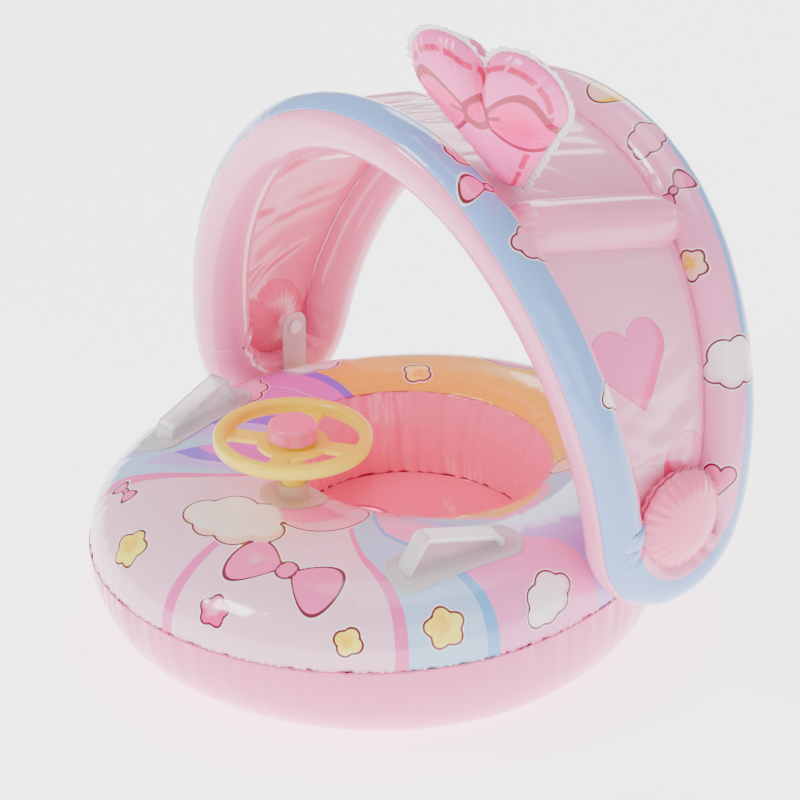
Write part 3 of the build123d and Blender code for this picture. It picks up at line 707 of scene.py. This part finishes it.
# %% [markdown]
# The outer weld shows as a row of short heated ribs. Geometry Nodes set one small bar at
# each step along a curve and turn it with the curve, which is just how the roller left them.

# %% Weld ribs by Geometry Nodes


def rib_tree():
    """Bars along a curve, with the step and the bar's size as named inputs."""
    tree = bpy.data.node_groups.new("weld_ribs", "GeometryNodeTree")
    face = tree.interface
    face.new_socket("Geometry", in_out="INPUT", socket_type="NodeSocketGeometry")
    face.new_socket("Step", in_out="INPUT", socket_type="NodeSocketFloat")
    face.new_socket("Bar", in_out="INPUT", socket_type="NodeSocketVector")
    face.new_socket("Finish", in_out="INPUT", socket_type="NodeSocketMaterial")
    face.new_socket("Geometry", in_out="OUTPUT", socket_type="NodeSocketGeometry")

    def add(kind, values=None, **settings):
        node = tree.nodes.new(kind)
        for name, value in settings.items():
            setattr(node, name, value)
        for key, value in (values or {}).items():
            if isinstance(value, bpy.types.NodeSocket):
                tree.links.new(value, node.inputs[key])
            else:
                node.inputs[key].default_value = value
        return node.outputs

    given = add("NodeGroupInput")
    points = add("GeometryNodeCurveToPoints", {"Curve": given["Geometry"],
                                               "Length": given["Step"]}, mode="LENGTH")
    bar = add("GeometryNodeMeshCube", {"Size": given["Bar"]})
    placed = add("GeometryNodeInstanceOnPoints", {
        "Points": points["Points"], "Instance": bar["Mesh"], "Rotation": points["Rotation"]})
    real = add("GeometryNodeRealizeInstances", {"Geometry": placed["Instances"]})
    done = add("GeometryNodeSetMaterial", {"Geometry": real["Geometry"],
                                           "Material": given["Finish"]})
    add("NodeGroupOutput", {"Geometry": done["Geometry"]})
    return tree


rib_group = rib_tree()


def weld_ribs(name, loop, step, bar, finish, body, slot):
    """One mesh of ribs along a closed line of points."""
    curve = bpy.data.curves.new(name, "CURVE")
    curve.dimensions = "3D"
    add_loop(curve, loop)
    holder = in_scene(name + "_path", curve)
    nodes_modifier = holder.modifiers.new("ribs", "NODES")
    nodes_modifier.node_group = rib_group
    names = {s.name: s.identifier for s in rib_group.interface.items_tree if s.in_out == "INPUT"}
    nodes_modifier[names["Step"]] = step
    nodes_modifier[names["Bar"]] = bar
    nodes_modifier[names["Finish"]] = finish.material
    piece = as_mesh(holder, name)
    finish_piece(piece, finish, body, slot)
    print(name, len(piece.data.polygons), "faces")


seam_loop = ring_grid([(1, -0.0004, seam_height)])[0]
weld_ribs("seam_ribs", seam_loop, 0.0085, (0.0012, 0.0016, 0.0055), weld_pink, "float", "pink_pvc")

# %% [markdown]
# The canopy's loop is one closed tube: over the front arch, round a bend at the right foot,
# back over the rear arch and round the left foot. Each arch is three arcs in a leaning plane.

# %% The loop's path
tilt = next(joint for joint in frame["joints"] if joint["name"] == "canopy_tilt")
pivot = np.array(tilt["pos_m"])
tube_radius = 0.030
loop_half_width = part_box("canopy_outer_skin")[1][0] - tube_radius
foot_bend = 0.070
front_arch = dict(lean=math.radians(-7.8), rise=0.357, crown=0.245, out=-1)
rear_arch = dict(lean=math.radians(16.0), rise=0.330, crown=0.270, out=1)
for arch in (front_arch, rear_arch):
    up = np.array((0, math.sin(arch["lean"]), math.cos(arch["lean"])))
    arch["up"] = up
    arch["foot"] = pivot + arch["out"] * foot_bend * np.array((0, up[2], -up[1]))
    span = loop_half_width ** 2 + arch["rise"] ** 2 - 2 * arch["rise"] * arch["crown"]
    arch["shoulder"] = span / (2 * (loop_half_width - arch["crown"]))
    arch["turn"] = math.atan2(arch["rise"] - arch["crown"], arch["shoulder"] - loop_half_width)


def arch_point(arch, angle):
    """Centre line point and outward direction at an angle from the left foot, 0 to pi."""
    turn, rise, crown, shoulder = arch["turn"], arch["rise"], arch["crown"], arch["shoulder"]
    side = np.where(angle < turn, 1, np.where(angle > math.pi - turn, -1, 0))
    radius = np.where(side == 0, crown, shoulder)
    cx = side * (loop_half_width - shoulder)
    cy = np.where(side == 0, rise - crown, 0.0)
    out = np.stack([np.cos(angle), np.sin(angle)], axis=1)
    flat = np.stack([cx, cy], axis=1) + radius[:, None] * out
    across = np.array((1.0, 0, 0))
    spot = arch["foot"] + flat[:, :1] * across + flat[:, 1:] * arch["up"]
    return spot, out[:, :1] * across + out[:, 1:] * arch["up"]


def arch_angles(arch, count):
    """Angles evenly spaced along the arch's length."""
    angle = np.linspace(0, math.pi, 2000)
    spot, _ = arch_point(arch, angle)
    length = np.concatenate([[0], np.cumsum(np.linalg.norm(np.diff(spot, axis=0), axis=1))])
    return np.interp(np.linspace(0, length[-1], count, endpoint=False), length, angle)


def bend_points(side, count):
    """Centre line round one foot, from the front arch down and up to the rear one."""
    sweep = math.pi - rear_arch["lean"] + front_arch["lean"]
    turn = np.linspace(0, sweep, count, endpoint=False)
    y = pivot[1] - foot_bend * np.cos(turn + front_arch["lean"])
    z = pivot[2] - foot_bend * np.sin(turn + front_arch["lean"])
    x = np.full_like(y, side * loop_half_width)
    return np.stack([x, y, z], axis=1), np.tile((float(side), 0, 0), (count, 1))


arch_count, bend_count = 300, 76
front_spots, front_out = arch_point(front_arch, arch_angles(front_arch, arch_count))
rear_angles = math.pi - arch_angles(rear_arch, arch_count)
rear_spots, rear_out = arch_point(rear_arch, rear_angles)
right_spots, right_out = bend_points(-1, bend_count)
left_spots, left_out = bend_points(1, bend_count)
spots = np.concatenate([front_spots, right_spots, rear_spots, left_spots[::-1]])
outs = np.concatenate([front_out, right_out, rear_out, left_out[::-1]])
step = np.roll(spots, -1, axis=0) - np.roll(spots, 1, axis=0)
tangents = step / np.linalg.norm(step, axis=1, keepdims=True)
inwards = np.cross(tangents, outs)
inwards /= np.linalg.norm(inwards, axis=1, keepdims=True)
loop_along, loop_length = column_distance(spots[None])
print("loop", round(float(loop_length), 3), "m long")

# %% [markdown]
# Air pressure keeps the tube round, but at the tight foot bends the inside of the film
# folds. Those folds are dents that run in from the inner seam, deepest where each leg
# enters its bend. `crown_share` is 1 at the top of an arch and 0 at its feet.

# %% The loop's two skins
columns = len(spots)
crown_share = np.concatenate([np.sin(arch_angles(front_arch, arch_count)), np.zeros(bend_count),
                              np.sin(rear_angles), np.zeros(bend_count)]) ** 2
on_front = np.concatenate([np.ones(arch_count), np.zeros(columns - arch_count)])
seam_low = -np.radians(66 - 24 * crown_share)


def bend_dent(around):
    """Depth of the folds at each point of the loop, largest on the inside of the bends."""
    total = np.zeros(np.broadcast(loop_along, around).shape)
    starts = (arch_count, arch_count + bend_count, 2 * arch_count + bend_count, 0)
    random = np.random.default_rng(31)
    for start in starts:
        sign = 1 if start in (arch_count, 2 * arch_count + bend_count) else -1
        for offset, depth, width in ((0.022, 0.010, 0.006), (-0.006, 0.004, 0.008),
                                     (0.045, 0.005, 0.007), (-0.03, 0.003, 0.01)):
            place = loop_along[start] + sign * offset + random.uniform(-0.002, 0.002)
            away = (loop_along - place + loop_length / 2) % loop_length - loop_length / 2
            swing = np.clip(np.sin(around), 0, 1) ** 1.5
            total += depth * np.exp(-(away / width) ** 2) * swing
    for start, sign in ((arch_count, 1), (0, -1)):
        for offset, depth, width in ((0.024, 0.0075, 0.0042), (0.040, 0.0035, 0.0035)):
            place = loop_along[start] + sign * offset
            bow_in = 0.010 * np.cos(around)
            away = (loop_along - place - sign * bow_in + loop_length / 2) % loop_length
            swing = np.clip(np.sin(around + 0.5), 0, 1) ** 0.8
            total += depth * np.exp(-((away - loop_length / 2) / width) ** 2) * swing
    return total


def tube_grid(low, high, rows):
    """The loop's skin between two angles round the tube, measured from the printed side."""
    share = np.linspace(0, 1, rows)[:, None]
    around = low + (high - low) * share
    seam_gap = np.minimum(share, 1 - share) * (high - low) * tube_radius
    radius = tube_radius - bend_dent(around)
    radius = radius + pleats(loop_along, loop_length, 33, 230, 0.0007, 0.004, 0.008, seam_gap)
    radius = radius + pleats(loop_along, loop_length, 34, 60, 0.0007, 0.010, 0.022, seam_gap)
    side = np.cos(around)[..., None] * outs + np.sin(around)[..., None] * inwards
    return spots + radius[..., None] * side, side, around


high_seam = np.full(columns, math.radians(90.0))
outer_grid, outer_side, outer_around = tube_grid(seam_low, high_seam, 40)
inner_grid, inner_side, _ = tube_grid(high_seam, seam_low + 2 * math.pi, 44)
loop_outer = skin_piece("loop_outer", outer_grid, outer_side)
loop_inner = skin_piece("loop_inner", inner_grid, inner_side)
blue_edge = np.radians(np.where(on_front > 0, 22 + 20 * crown_share, 2.0))
blue_edge = np.where(crown_share == 0, math.radians(12), blue_edge)
band = 0.5 + (outer_around - blue_edge) / 4
carry(loop_outer.data, zone=np.clip(band, 0, 1))
loop_sky, loop_rose = linear("#7FA8EA"), linear("#FF9ACB")


def on_loop(shape, share, degrees, size, turn=0, fill=white, second=None):
    """A printed shape on the outer skin: share of the loop's length and angle round it."""
    column = int(share * columns)
    low_seam = math.degrees(seam_low[column])
    return (shape, share, (degrees - low_seam) / (90 - low_seam), size, turn, fill, second or fill)


loop_print = [
    on_loop("disc", 0.715, 10, 0.022, 0, peach, amber),
    on_loop("cloud", 0.745, 30, 0.026, 60, loop_rose, blush),
    on_loop("bow", 0.77, 50, 0.026, 60, rose, blush),
    on_loop("star", 0.8, 70, 0.017, 0, peach, amber),
    on_loop("cloud", 0.84, 20, 0.036, 75, white, pale),
    on_loop("heart", 0.885, 45, 0.018, 90, rose, blush),
    on_loop("cloud", 0.165, 50, 0.028, 20, blush, rose),
    on_loop("bow", 0.145, 25, 0.030, -60, rose, blush),
    on_loop("cloud", 0.12, 35, 0.026, -60, loop_rose, blush),
    on_loop("star", 0.225, 40, 0.016, 0, lemon, gold),
    on_loop("cloud", 0.275, 50, 0.026, 20, blush, rose),
    on_loop("bow", 0.315, 30, 0.028, 60, rose, blush),
    on_loop("star", 0.36, 50, 0.016, 30, peach, amber),
    on_loop("cloud", 0.06, 50, 0.024, 70, white, pale),
    on_loop("star", 0.58, 40, 0.017, 0, lemon, gold),
    on_loop("cloud", 0.62, 20, 0.032, -60, white, pale),
    on_loop("bow", 0.66, 35, 0.028, -30, rose, blush),
    on_loop("heart", 0.55, 30, 0.018, -90, rose, blush),
]
decorate(loop_outer.data, outer_grid, loop_print)
loop_finish = printed("loop_print", [(0.0, loop_sky), (0.5, loop_rose)])
finish_piece(loop_outer, loop_finish, "canopy", "printed_pvc", "canopy_outer_skin")
finish_piece(loop_inner, tube_pink, "canopy", "pink_pvc", "canopy_inner_skin")

# %% [markdown]
# Crossbars are short fat tubes whose ends gather where they meet the loop.

# %% Crossbars
bar_radius = 0.031


def bar_piece(side):
    """One crossbar between the arches, puckered towards both ends."""
    ends = []
    for arch in (front_arch, rear_arch):
        angle = arch["turn"] if side > 0 else math.pi - arch["turn"]
        spot, _ = arch_point(arch, np.array([angle]))
        ends.append(spot[0])
    axis = ends[1] - ends[0]
    length = np.linalg.norm(axis)
    axis /= length
    across = np.cross(axis, (0, 0, 1.0))
    across /= np.linalg.norm(across)
    upward = np.cross(across, axis)
    around = np.linspace(0, 2 * math.pi, 96, endpoint=False)
    reach = np.linspace(0.014, length - 0.014, 60)[:, None]
    gap = np.minimum(reach - 0.028, length - 0.028 - reach)
    radius = bar_radius * (1 - 0.30 * np.exp(-np.maximum(gap, 0) / 0.010))
    radius = radius + pleats(around * bar_radius, 2 * math.pi * bar_radius, 41, 22, 0.0016, 0.003,
                             0.018, np.maximum(gap, 0))
    ring = np.cos(around)[:, None] * across + np.sin(around)[:, None] * upward
    grid = ends[0] + reach[..., None] * axis + radius[..., None] * ring
    name = "crossbar_tube_" + ("left" if side > 0 else "right")
    piece = skin_piece(name, grid, np.broadcast_to(ring, grid.shape))
    finish_piece(piece, tube_pink, "canopy", "pink_pvc",
                 "crossbar_" + ("left" if side > 0 else "right"))


for side in (1, -1):
    bar_piece(side)

# %% [markdown]
# Thin film stretches between the arches. It is tight, but tension makes shallow folds that
# run from one arch to the other, and the panels by the legs swell a little.

# %% Canopy sheets


def sheet_rows(angles_front, angles_rear, rows, bulge, seed, folds):
    """A film between the arches' inner seams, with folds across it."""
    edges = []
    for arch, angles, toward in ((front_arch, angles_front, 1), (rear_arch, angles_rear, -1)):
        spot, out = arch_point(arch, angles)
        normal = np.array((0, arch["up"][2], -arch["up"][1])) * toward
        edges.append((spot + normal * (tube_radius + 0.0002), out))
    share = np.linspace(0, 1, rows)[:, None, None]
    grid = edges[0][0] * (1 - share) + edges[1][0] * share
    out = edges[0][1] * (1 - share) + edges[1][1] * share
    random = np.random.default_rng(seed)
    u = np.linspace(0, 1, len(angles_front))[None, :]
    v = share[..., 0]
    waves = np.zeros((rows, len(angles_front)))
    for _ in range(folds):
        place, width, slant = random.uniform(0, 1), random.uniform(0.012, 0.05), random.normal()
        line = (u - place + 0.16 * slant * (v - 0.5)) / (width * (0.6 + 0.8 * v))
        fade = np.clip(1.3 - 1.3 * np.abs(v - random.choice((0.1, 0.9))), 0, 1)
        waves += random.uniform(0.3, 1.0) * fade * np.exp(-line ** 2)
    edge_free = np.sin(math.pi * v) * np.clip(np.sin(math.pi * u) * 3, 0, 1)
    height = bulge * np.sin(math.pi * v) ** 0.7 * np.clip(np.sin(math.pi * u) * 1.6, 0, 1)
    height = height - 0.0035 * waves * edge_free ** 0.6
    return grid + height[..., None] * out, out


bar_half = 0.35 * bar_radius
sheet_row_count, top_columns, side_columns = 70, 150, 110
sheet_wall, sheet_slack = 0.0006, 1.03
top_angles = []
for arch in (front_arch, rear_arch):
    margin = bar_half / arch["crown"]
    top_angles.append(np.linspace(arch["turn"] + margin, math.pi - arch["turn"] - margin,
                                  top_columns))
top_grid, top_out = sheet_rows(*top_angles, sheet_row_count, 0.004, 51, 26)
top_sheet = skin_piece("top_sheet", top_grid, top_out, closed=False, wall=sheet_wall)
# The inner faces get a deeper pink than sheet_pink: painted shade for the canopy's underside.
painted_shade_lining = vinyl("painted_shade_lining", linear("#FF6FA6"), ripple=0.0012, gloss=0.2)


def line_inside_with_painted_shade(sheet):
    """The inner face of a sheet is plain film, painted a deeper pink for the shade under the
    canopy.
    """
    sheet.data.materials.append(painted_shade_lining.material)
    sheet.modifiers["wall"].material_offset = 1


sheet_pink = vinyl("sheet_pink", linear("#FF9FCB"), ripple=0.0012, gloss=0.2)
finish_piece(top_sheet, sheet_pink, "canopy", "pale_sheet", "canopy_top_sheet")
line_inside_with_painted_shade(top_sheet)

side_finish = printed("side_print", [(0.0, linear("#FFABD3")), (0.93, linear("#FF8FC4"))],
                      outline="#E0609A", halo=0.0001, pen=0.0006)
for side, label in ((1, "left"), (-1, "right")):
    angles = []
    for arch in (front_arch, rear_arch):
        margin = bar_half / arch["shoulder"]
        run = np.linspace(arch["turn"] - margin, 0.0, side_columns)
        angles.append(run if side > 0 else math.pi - run)
    grid, out = sheet_rows(*angles, sheet_row_count, 0.010, 52 + side, 12)
    panel = skin_piece("side_sheet_" + label, grid, out, closed=False, wall=sheet_wall)
    carry(panel.data, zone=np.repeat(np.linspace(0, 1, sheet_row_count), side_columns))
    finish_piece(panel, side_finish, "canopy", "pale_sheet", "canopy_side_sheet_" + label)
    line_inside_with_painted_shade(panel)
    decorate(panel.data, grid, [
        ("heart", 0.47, 0.30, 0.050, 90, linear("#FF78B8"), linear("#FF4FA0")),
        ("disc", 0.80, 0.72, 0.030, 0, linear("#FF8CC4"), linear("#F22F80")),
    ])

# %% [markdown]
# The end pillows sit in the foot bends. A round pillow of two discs pulls its weld inwards
# as it fills, so the rim gathers in even notches and each notch draws a fold up the face.

# %% End pillows


def dome(plane_point, wide, high, facing, outline, radii, lift, rise_back, folds, seed, rows=44):
    """A pillow's half: outline points scaled inwards while the face lifts."""
    share = np.linspace(1, 0.0, rows)[:, None]
    random = np.random.default_rng(seed)
    count = len(outline)
    turn = np.linspace(0, 2 * math.pi, count, endpoint=False)
    body = lift * (1 - share ** 2.4) ** 0.62
    gap = (1 - share) * radii
    crease = np.zeros((rows, count))
    for index in range(folds):
        place = 2 * math.pi * (index + random.uniform(0.25, 0.75)) / folds
        away = ((turn - place + math.pi) % (2 * math.pi) - math.pi) * radii
        crease += random.uniform(0.4, 1.0) * np.exp(-(away / 0.0032) ** 2 - gap
                                                    / (0.012 * random.uniform(0.6, 1.6)))
    body = body - 0.0008 * crease * np.clip(gap / 0.004, 0, 1)
    middle = outline.mean(axis=0)
    flat = middle + (outline - middle) * share[..., None]
    grid = plane_point + flat[..., :1] * wide + flat[..., 1:] * high
    return grid + (body * rise_back)[..., None] * facing


pillow_radius = 0.0535
pillow_seam = linear("#A01848")
crimp_finish = vinyl("crimp", pillow_seam, ripple=0.0002)
circle_turn = np.linspace(0, 2 * math.pi, 220, endpoint=False)
for side, label in ((1, "left"), (-1, "right")):
    middle = np.array((side * (loop_half_width + 0.017), pivot[1] + 0.002, pivot[2] - 0.004))
    notch = 1 + 0.012 * np.cos(26 * circle_turn) + 0.006 * np.cos(11 * circle_turn + 1)
    rim = pillow_radius * notch[:, None] * np.stack([np.cos(circle_turn), np.sin(circle_turn)], 1)
    facing = np.array((side * 1.0, 0, 0))
    wide, high = np.array((0, side * 1.0, 0)), np.array((0, 0, 1.0))
    front = dome(middle, wide, high, facing, rim, pillow_radius, 0.020, 1, 19, 61)
    back = dome(middle, wide, high, facing, rim, pillow_radius, 0.026, -1, 26, 62)
    grid = np.concatenate([front[::-1], back[1:]])
    pillow = skin_piece("end_pillow_skin_" + label, grid, grid - middle, wall=0)
    close_seam(pillow)
    finish_piece(pillow, pillow_pink, "canopy", "pink_pvc", "end_pillow_" + label)
    loop = middle + 1.01 * (rim[:, :1] * wide + rim[:, 1:] * high)
    weld_ribs("end_pillow_ribs_" + label, loop, 0.0026, (0.0014, 0.0012, 0.0019), crimp_finish,
              "canopy", "pink_pvc")

# %% [markdown]
# The heart pillow stands on the top sheet. Its outline is two lobe arcs and two straight
# sides that meet in a rounded point, read back from the flange in the frame.

# %% Heart pillow
flange = nodes["heart_flange"].data
corners = np.array([v.co[:] for v in flange.vertices])
yaw, heart_lean = math.radians(10.0), math.radians(20.0)
heart_wide = np.array((math.cos(yaw), math.sin(yaw), 0))
heart_facing = np.array((math.sin(yaw) * math.cos(heart_lean),
                         -math.cos(yaw) * math.cos(heart_lean), -math.sin(heart_lean)))
heart_high = np.cross(heart_facing, heart_wide)
spread = np.stack([corners @ heart_wide, corners @ heart_high, corners @ heart_facing], 1)
low, high = spread.min(axis=0), spread.max(axis=0)
flange_width = 0.004
heart_width = high[0] - low[0] - 2 * flange_width
heart_middle_x = (high[0] + low[0]) / 2
notch_depth, tip_radius = 0.034, 0.014
lobe_radius = heart_width / 2 + notch_depth - math.sqrt(heart_width * notch_depth)
lobe_x = heart_width / 2 - lobe_radius
lobe_y = high[1] - flange_width - lobe_radius
tip_y = low[1] + flange_width
print("heart", round(heart_width, 3), "wide,", round(high[1] - low[1], 3), "high")


def heart_outline(count=360):
    """Points round the heart, evenly spaced, from the tip up the left lobe to the notch."""
    drop = lobe_y - tip_y - tip_radius
    reach = math.hypot(lobe_x, drop)
    tilt_angle = math.atan2(lobe_x, drop) + math.asin((lobe_radius - tip_radius) / reach)
    tip = [(tip_radius * math.sin(t), tip_y + tip_radius - tip_radius * math.cos(t))
           for t in np.linspace(0, math.pi / 2 - tilt_angle, 12)]
    top = math.acos(-lobe_x / lobe_radius)
    lobe = [(lobe_x + lobe_radius * math.cos(t), lobe_y + lobe_radius * math.sin(t))
            for t in np.linspace(-tilt_angle, top, 60)]
    half = np.array(tip + lobe)
    whole = np.concatenate([half, (half * (-1, 1))[::-1][1:-1]])
    whole = np.concatenate([whole, whole[:1]])
    length = np.concatenate([[0], np.cumsum(np.linalg.norm(np.diff(whole, axis=0), axis=1))])
    places = np.linspace(0, length[-1], count, endpoint=False)
    return np.stack([np.interp(places, length, whole[:, k]) for k in (0, 1)], axis=1)


heart_line = heart_outline()
heart_origin = heart_middle_x * heart_wide + (low[2] + high[2]) / 2 * heart_facing
heart_core = np.array((0.0, tip_y + 0.56 * (high[1] - low[1])))
heart_depth = 0.029


def heart_half(direction, seed, rows=60):
    """One swollen face: creases run in from the weld, and a deep one from the notch."""
    share = np.linspace(1, 0.0, rows)[:, None]
    flat = heart_core + (heart_line - heart_core) * share[..., None]
    gap = np.linalg.norm(heart_line - heart_core, axis=1) * (1 - share)
    body = heart_depth * (1 - share ** 2.6) ** 0.6
    along, around = column_distance(heart_line[None])
    body = body + pleats(along, around, seed, 58, 0.0026, 0.0032, 0.013, gap) * np.clip(
        gap / 0.003, 0, 1)
    body = body + pleats(along, around, seed + 1, 16, 0.0024, 0.006, 0.03, gap) * np.clip(
        gap / 0.006, 0, 1)
    notch_y = lobe_y + math.sqrt(lobe_radius ** 2 - lobe_x ** 2)
    below = np.clip((notch_y - flat[..., 1]) / 0.055, 0, 1)
    body = body - 0.016 * np.exp(-(flat[..., 0] / 0.010) ** 2) * (1 - below) ** 1.2
    body = np.maximum(body, 0.0004)
    grid = heart_origin + flat[..., :1] * heart_wide + flat[..., 1:] * heart_high
    return grid + direction * body[..., None] * heart_facing, flat, gap


heart_front, heart_flat, heart_gap = heart_half(1, 71)
heart_back, _, _ = heart_half(-1, 75)
front_piece = skin_piece("heart_front", heart_front, heart_facing)
back_piece = skin_piece("heart_back", heart_back, -heart_facing)
for piece in (front_piece, back_piece):
    close_seam(piece)

# %% [markdown]
# The heart's face carries one large bow and a dashed line inside the weld. Both are drawn
# from distances again, this time in the heart's own flat coordinates.

# %% Heart print
bow_size = 0.076
bow_x = (heart_flat[..., 0] + 0.002) / bow_size
bow_y = (heart_flat[..., 1] - lobe_y + 0.022) / bow_size
bow_edge = bow(bow_x, bow_y) * bow_size
bow_ink = bow_lines(bow_x, bow_y) * bow_size
dash_along = np.broadcast_to(np.linspace(0, 1, heart_gap.shape[1], endpoint=False),
                             heart_gap.shape)
dash = np.abs(heart_gap - 0.012) - 0.0028
dash = np.maximum(dash, 0.004 - 0.02 * np.abs(np.sin(math.pi * 15 * dash_along)))
carry(front_piece.data, edge=bow_edge, lines=bow_ink, dash=dash,
      shine=bow_edge + 0.010 + 0.012 * (np.abs(bow_x) - 0.7))


def heart_colours(made):
    edge, ink = made.field("edge"), linear("#A8003F")
    face = made.mix(made.field("dash").below(0, 0.0006), linear("#FF62B4"), linear("#D8005E"))
    face = made.mix(edge.below(0.0032, 0.0004), face, ink)
    loops = made.mix(made.field("shine").below(0, 0.006), linear("#FF3A9C"), linear("#FF1484"))
    face = made.mix(edge.below(-0.0026, 0.0004), face, loops)
    return made.mix(made.field("lines").below(0.0014, 0.0008), face, ink)


heart_finish = vinyl("heart_print", heart_colours, gloss=0.24, Coat_Weight=0.15)
finish_piece(front_piece, heart_finish, "canopy", "pink_pvc", "heart_front_skin")
finish_piece(back_piece, vinyl("heart_plain", linear("#FF62B4")), "canopy", "pink_pvc",
             "heart_back_skin")

# %% [markdown]
# A clear, wavy flange of spare film stands round the weld.

# %% Heart flange
clear = Finish("clear_film", IOR=1.46, Transmission_Weight=0.3, Coat_Weight=0.3)
clear.drive("Base Color", clear.mix(clear.noise(40), linear("#FBF3F8"), linear("#FFFFFF")))
clear.drive("Roughness", clear.noise(220) * 0.2 + 0.18)
clear.bump(clear.noise(60, 2), 0.0002)
line_count = len(heart_line)
heart_normal = np.roll(heart_line, 1, axis=0) - np.roll(heart_line, -1, axis=0)
heart_normal = np.stack([-heart_normal[:, 1], heart_normal[:, 0]], axis=1)
heart_normal /= np.linalg.norm(heart_normal, axis=1, keepdims=True)
if np.sum(heart_normal * (heart_line - heart_core)) < 0:
    heart_normal = -heart_normal
wave_turn = np.linspace(0, 2 * math.pi, line_count, endpoint=False)
rows = []
for reach in np.linspace(-0.002, 1, 7):
    scallop = 1 + 0.16 * np.cos(58 * wave_turn) + 0.1 * np.cos(23 * wave_turn + 2)
    flat = heart_line + heart_normal * (max(reach, 0) * 0.0068 * scallop - 0.001)[:, None]
    lift = 0.0016 * reach * np.cos(58 * wave_turn + 1) + 0.0012 * reach * np.cos(
        17 * wave_turn)
    rows.append(heart_origin + flat[:, :1] * heart_wide + flat[:, 1:] * heart_high
                + lift[:, None] * heart_facing)
flange_piece = skin_piece("heart_weld_flange", np.array(rows), heart_facing, wall=0.0007)
finish_piece(flange_piece, clear, "canopy", "clear_pvc", "heart_flange")

# %% [markdown]
# The hard pieces already have their true shape, so they keep their CAD meshes and get a
# finish: injection-moulded plastic with a satin skin, and cast clear vinyl.

# %% Hard pieces


def moulded(name, colour, rough=0.28, **constants):
    """Injection-moulded plastic with flow marks and a fine spark-eroded grain."""
    constants = {"IOR": 1.49, "Coat_Weight": 0.25, "Coat_Roughness": 0.1} | constants
    made = Finish(name, **constants)
    flow = made.noise(30, 4, (1, 1, 0.3))
    made.drive("Base Color", made.mix(flow, tuple(c * 0.93 for c in colour[:3]) + (1,), colour))
    made.drive("Roughness", made.noise(300) * 0.12 + rough)
    made.bump(made.noise(1400, 2) * 0.4 + flow, 0.0001)
    return made


def cast(name, colour, through=0.8):
    """Clear cast vinyl: it lets light through and holds a few cloudy streaks."""
    made = Finish(name, IOR=1.45, Transmission_Weight=through, Coat_Weight=0.2)
    streak = made.noise(70, 3, (1, 0.3, 1))
    made.drive("Base Color", made.mix(streak, tuple(c * 0.96 for c in colour[:3]) + (1,), colour))
    made.drive("Roughness", streak * 0.18 + 0.12)
    made.bump(made.noise(120, 3), 0.0003)
    return made


yellow = moulded("wheel_yellow", linear("#F4D200"), Coat_Weight=0.08)
horn_pink = moulded("horn_pink", linear("#FF5C92"))
white_plastic = moulded("valve_white", linear("#F7F4F2"), 0.35)
soft_white = moulded("bellows", linear("#E9E4E0"), 0.5)
frosted = cast("handle_clear", linear("#FFFFFF"), 0.6)
peach_clear = cast("socket_clear", linear("#FFE0C4"), 0.45)
steel = Finish("axle_steel", Metallic=1.0)
steel.drive("Base Color", steel.mix(steel.noise(80), linear("#B9BBBF"), linear("#D8DADC")))
steel.drive("Roughness", steel.noise(500) * 0.15 + 0.22)
hard_finishes = {
    yellow: ("steering_wheel",), horn_pink: ("horn_button",), peach_clear: ("wheel_socket",),
    frosted: ("handle_grip_left", "handle_grip_right", "handle_patch_left",
              "handle_patch_right", "canopy_tab_left", "canopy_tab_right"),
    soft_white: ("horn_bellows", "squeaker_reed"), steel: ("axle_clip", "wheel_axle"),
    white_plastic: ("press_stud_left", "press_stud_right", "float_valve_body",
                    "float_valve_plug", "canopy_valve_body", "canopy_valve_plug",
                    "heart_valve_body", "heart_valve_plug"),
}
for finish, names in hard_finishes.items():
    for name in names:
        nodes[name].data.materials.clear()
        nodes[name].data.materials.append(finish.material)

# %% [markdown]
# Each handle's patch is welded round its edge, which leaves a raised bead. The bead is laid
# on the patch by looking straight down on to its mesh from above.

# %% Beads round the handle patches


def laid_on(node, flat):
    """Points dropped on to a node from above."""
    found = []
    for x, y in flat:
        hit, place, _, _ = nodes[node].ray_cast(Vector((x, y, 1.0)), Vector((0, 0, -1)))
        if hit:
            found.append(place[:])
    return np.array(found)


handle_turn, patch_long, patch_wide = math.radians(10.0), 0.150, 0.050
for side, label in ((1, "left"), (-1, "right")):
    name = "handle_patch_" + label
    low_corner, high_corner = (np.array(c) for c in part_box(name))
    centre = (low_corner + high_corner)[:2] / 2
    forward = np.array((-side * math.sin(handle_turn), -math.cos(handle_turn)))
    across = np.array((-forward[1], forward[0]))
    for inset, bead in ((0.0025, 0.0028), (0.0075, 0.0014)):
        corner = patch_wide * 0.4 - inset
        half_long, half_wide = patch_long / 2 - inset - corner, patch_wide / 2 - inset - corner
        t = np.linspace(0, 2 * math.pi, 200, endpoint=False)
        along = half_long * np.sign(np.cos(t)) + corner * np.cos(t)
        aside = half_wide * np.sign(np.sin(t)) + corner * np.sin(t)
        flat = centre + along[:, None] * forward + aside[:, None] * across
        path = laid_on(name, flat)
        hem_ring(f"handle_bead_{label}_{int(inset * 10000)}", path, bead, frosted, "float",
                 "clear_pvc", thick=bead * 0.8)

# %% Floor
ground = bpy.data.meshes.new("floor")
reach = 30.0
ground.from_pydata([(-reach, -reach, 0), (reach, -reach, 0), (reach, reach, 0),
                    (-reach, reach, 0)], [], [(0, 1, 2, 3)])
floor = in_scene("floor", ground)
floor_finish = Finish("floor", Specular_IOR_Level=0.2, Emission_Strength=2.7,
                      Emission_Color=studio_white)
floor_finish.drive("Base Color", floor_finish.mix(floor_finish.noise(3), (0.93, 0.92, 0.925, 1),
                                                  (0.95, 0.945, 0.95, 1)))
floor_finish.drive("Roughness", floor_finish.noise(40) * 0.1 + 0.6)
floor.data.materials.append(floor_finish.material)
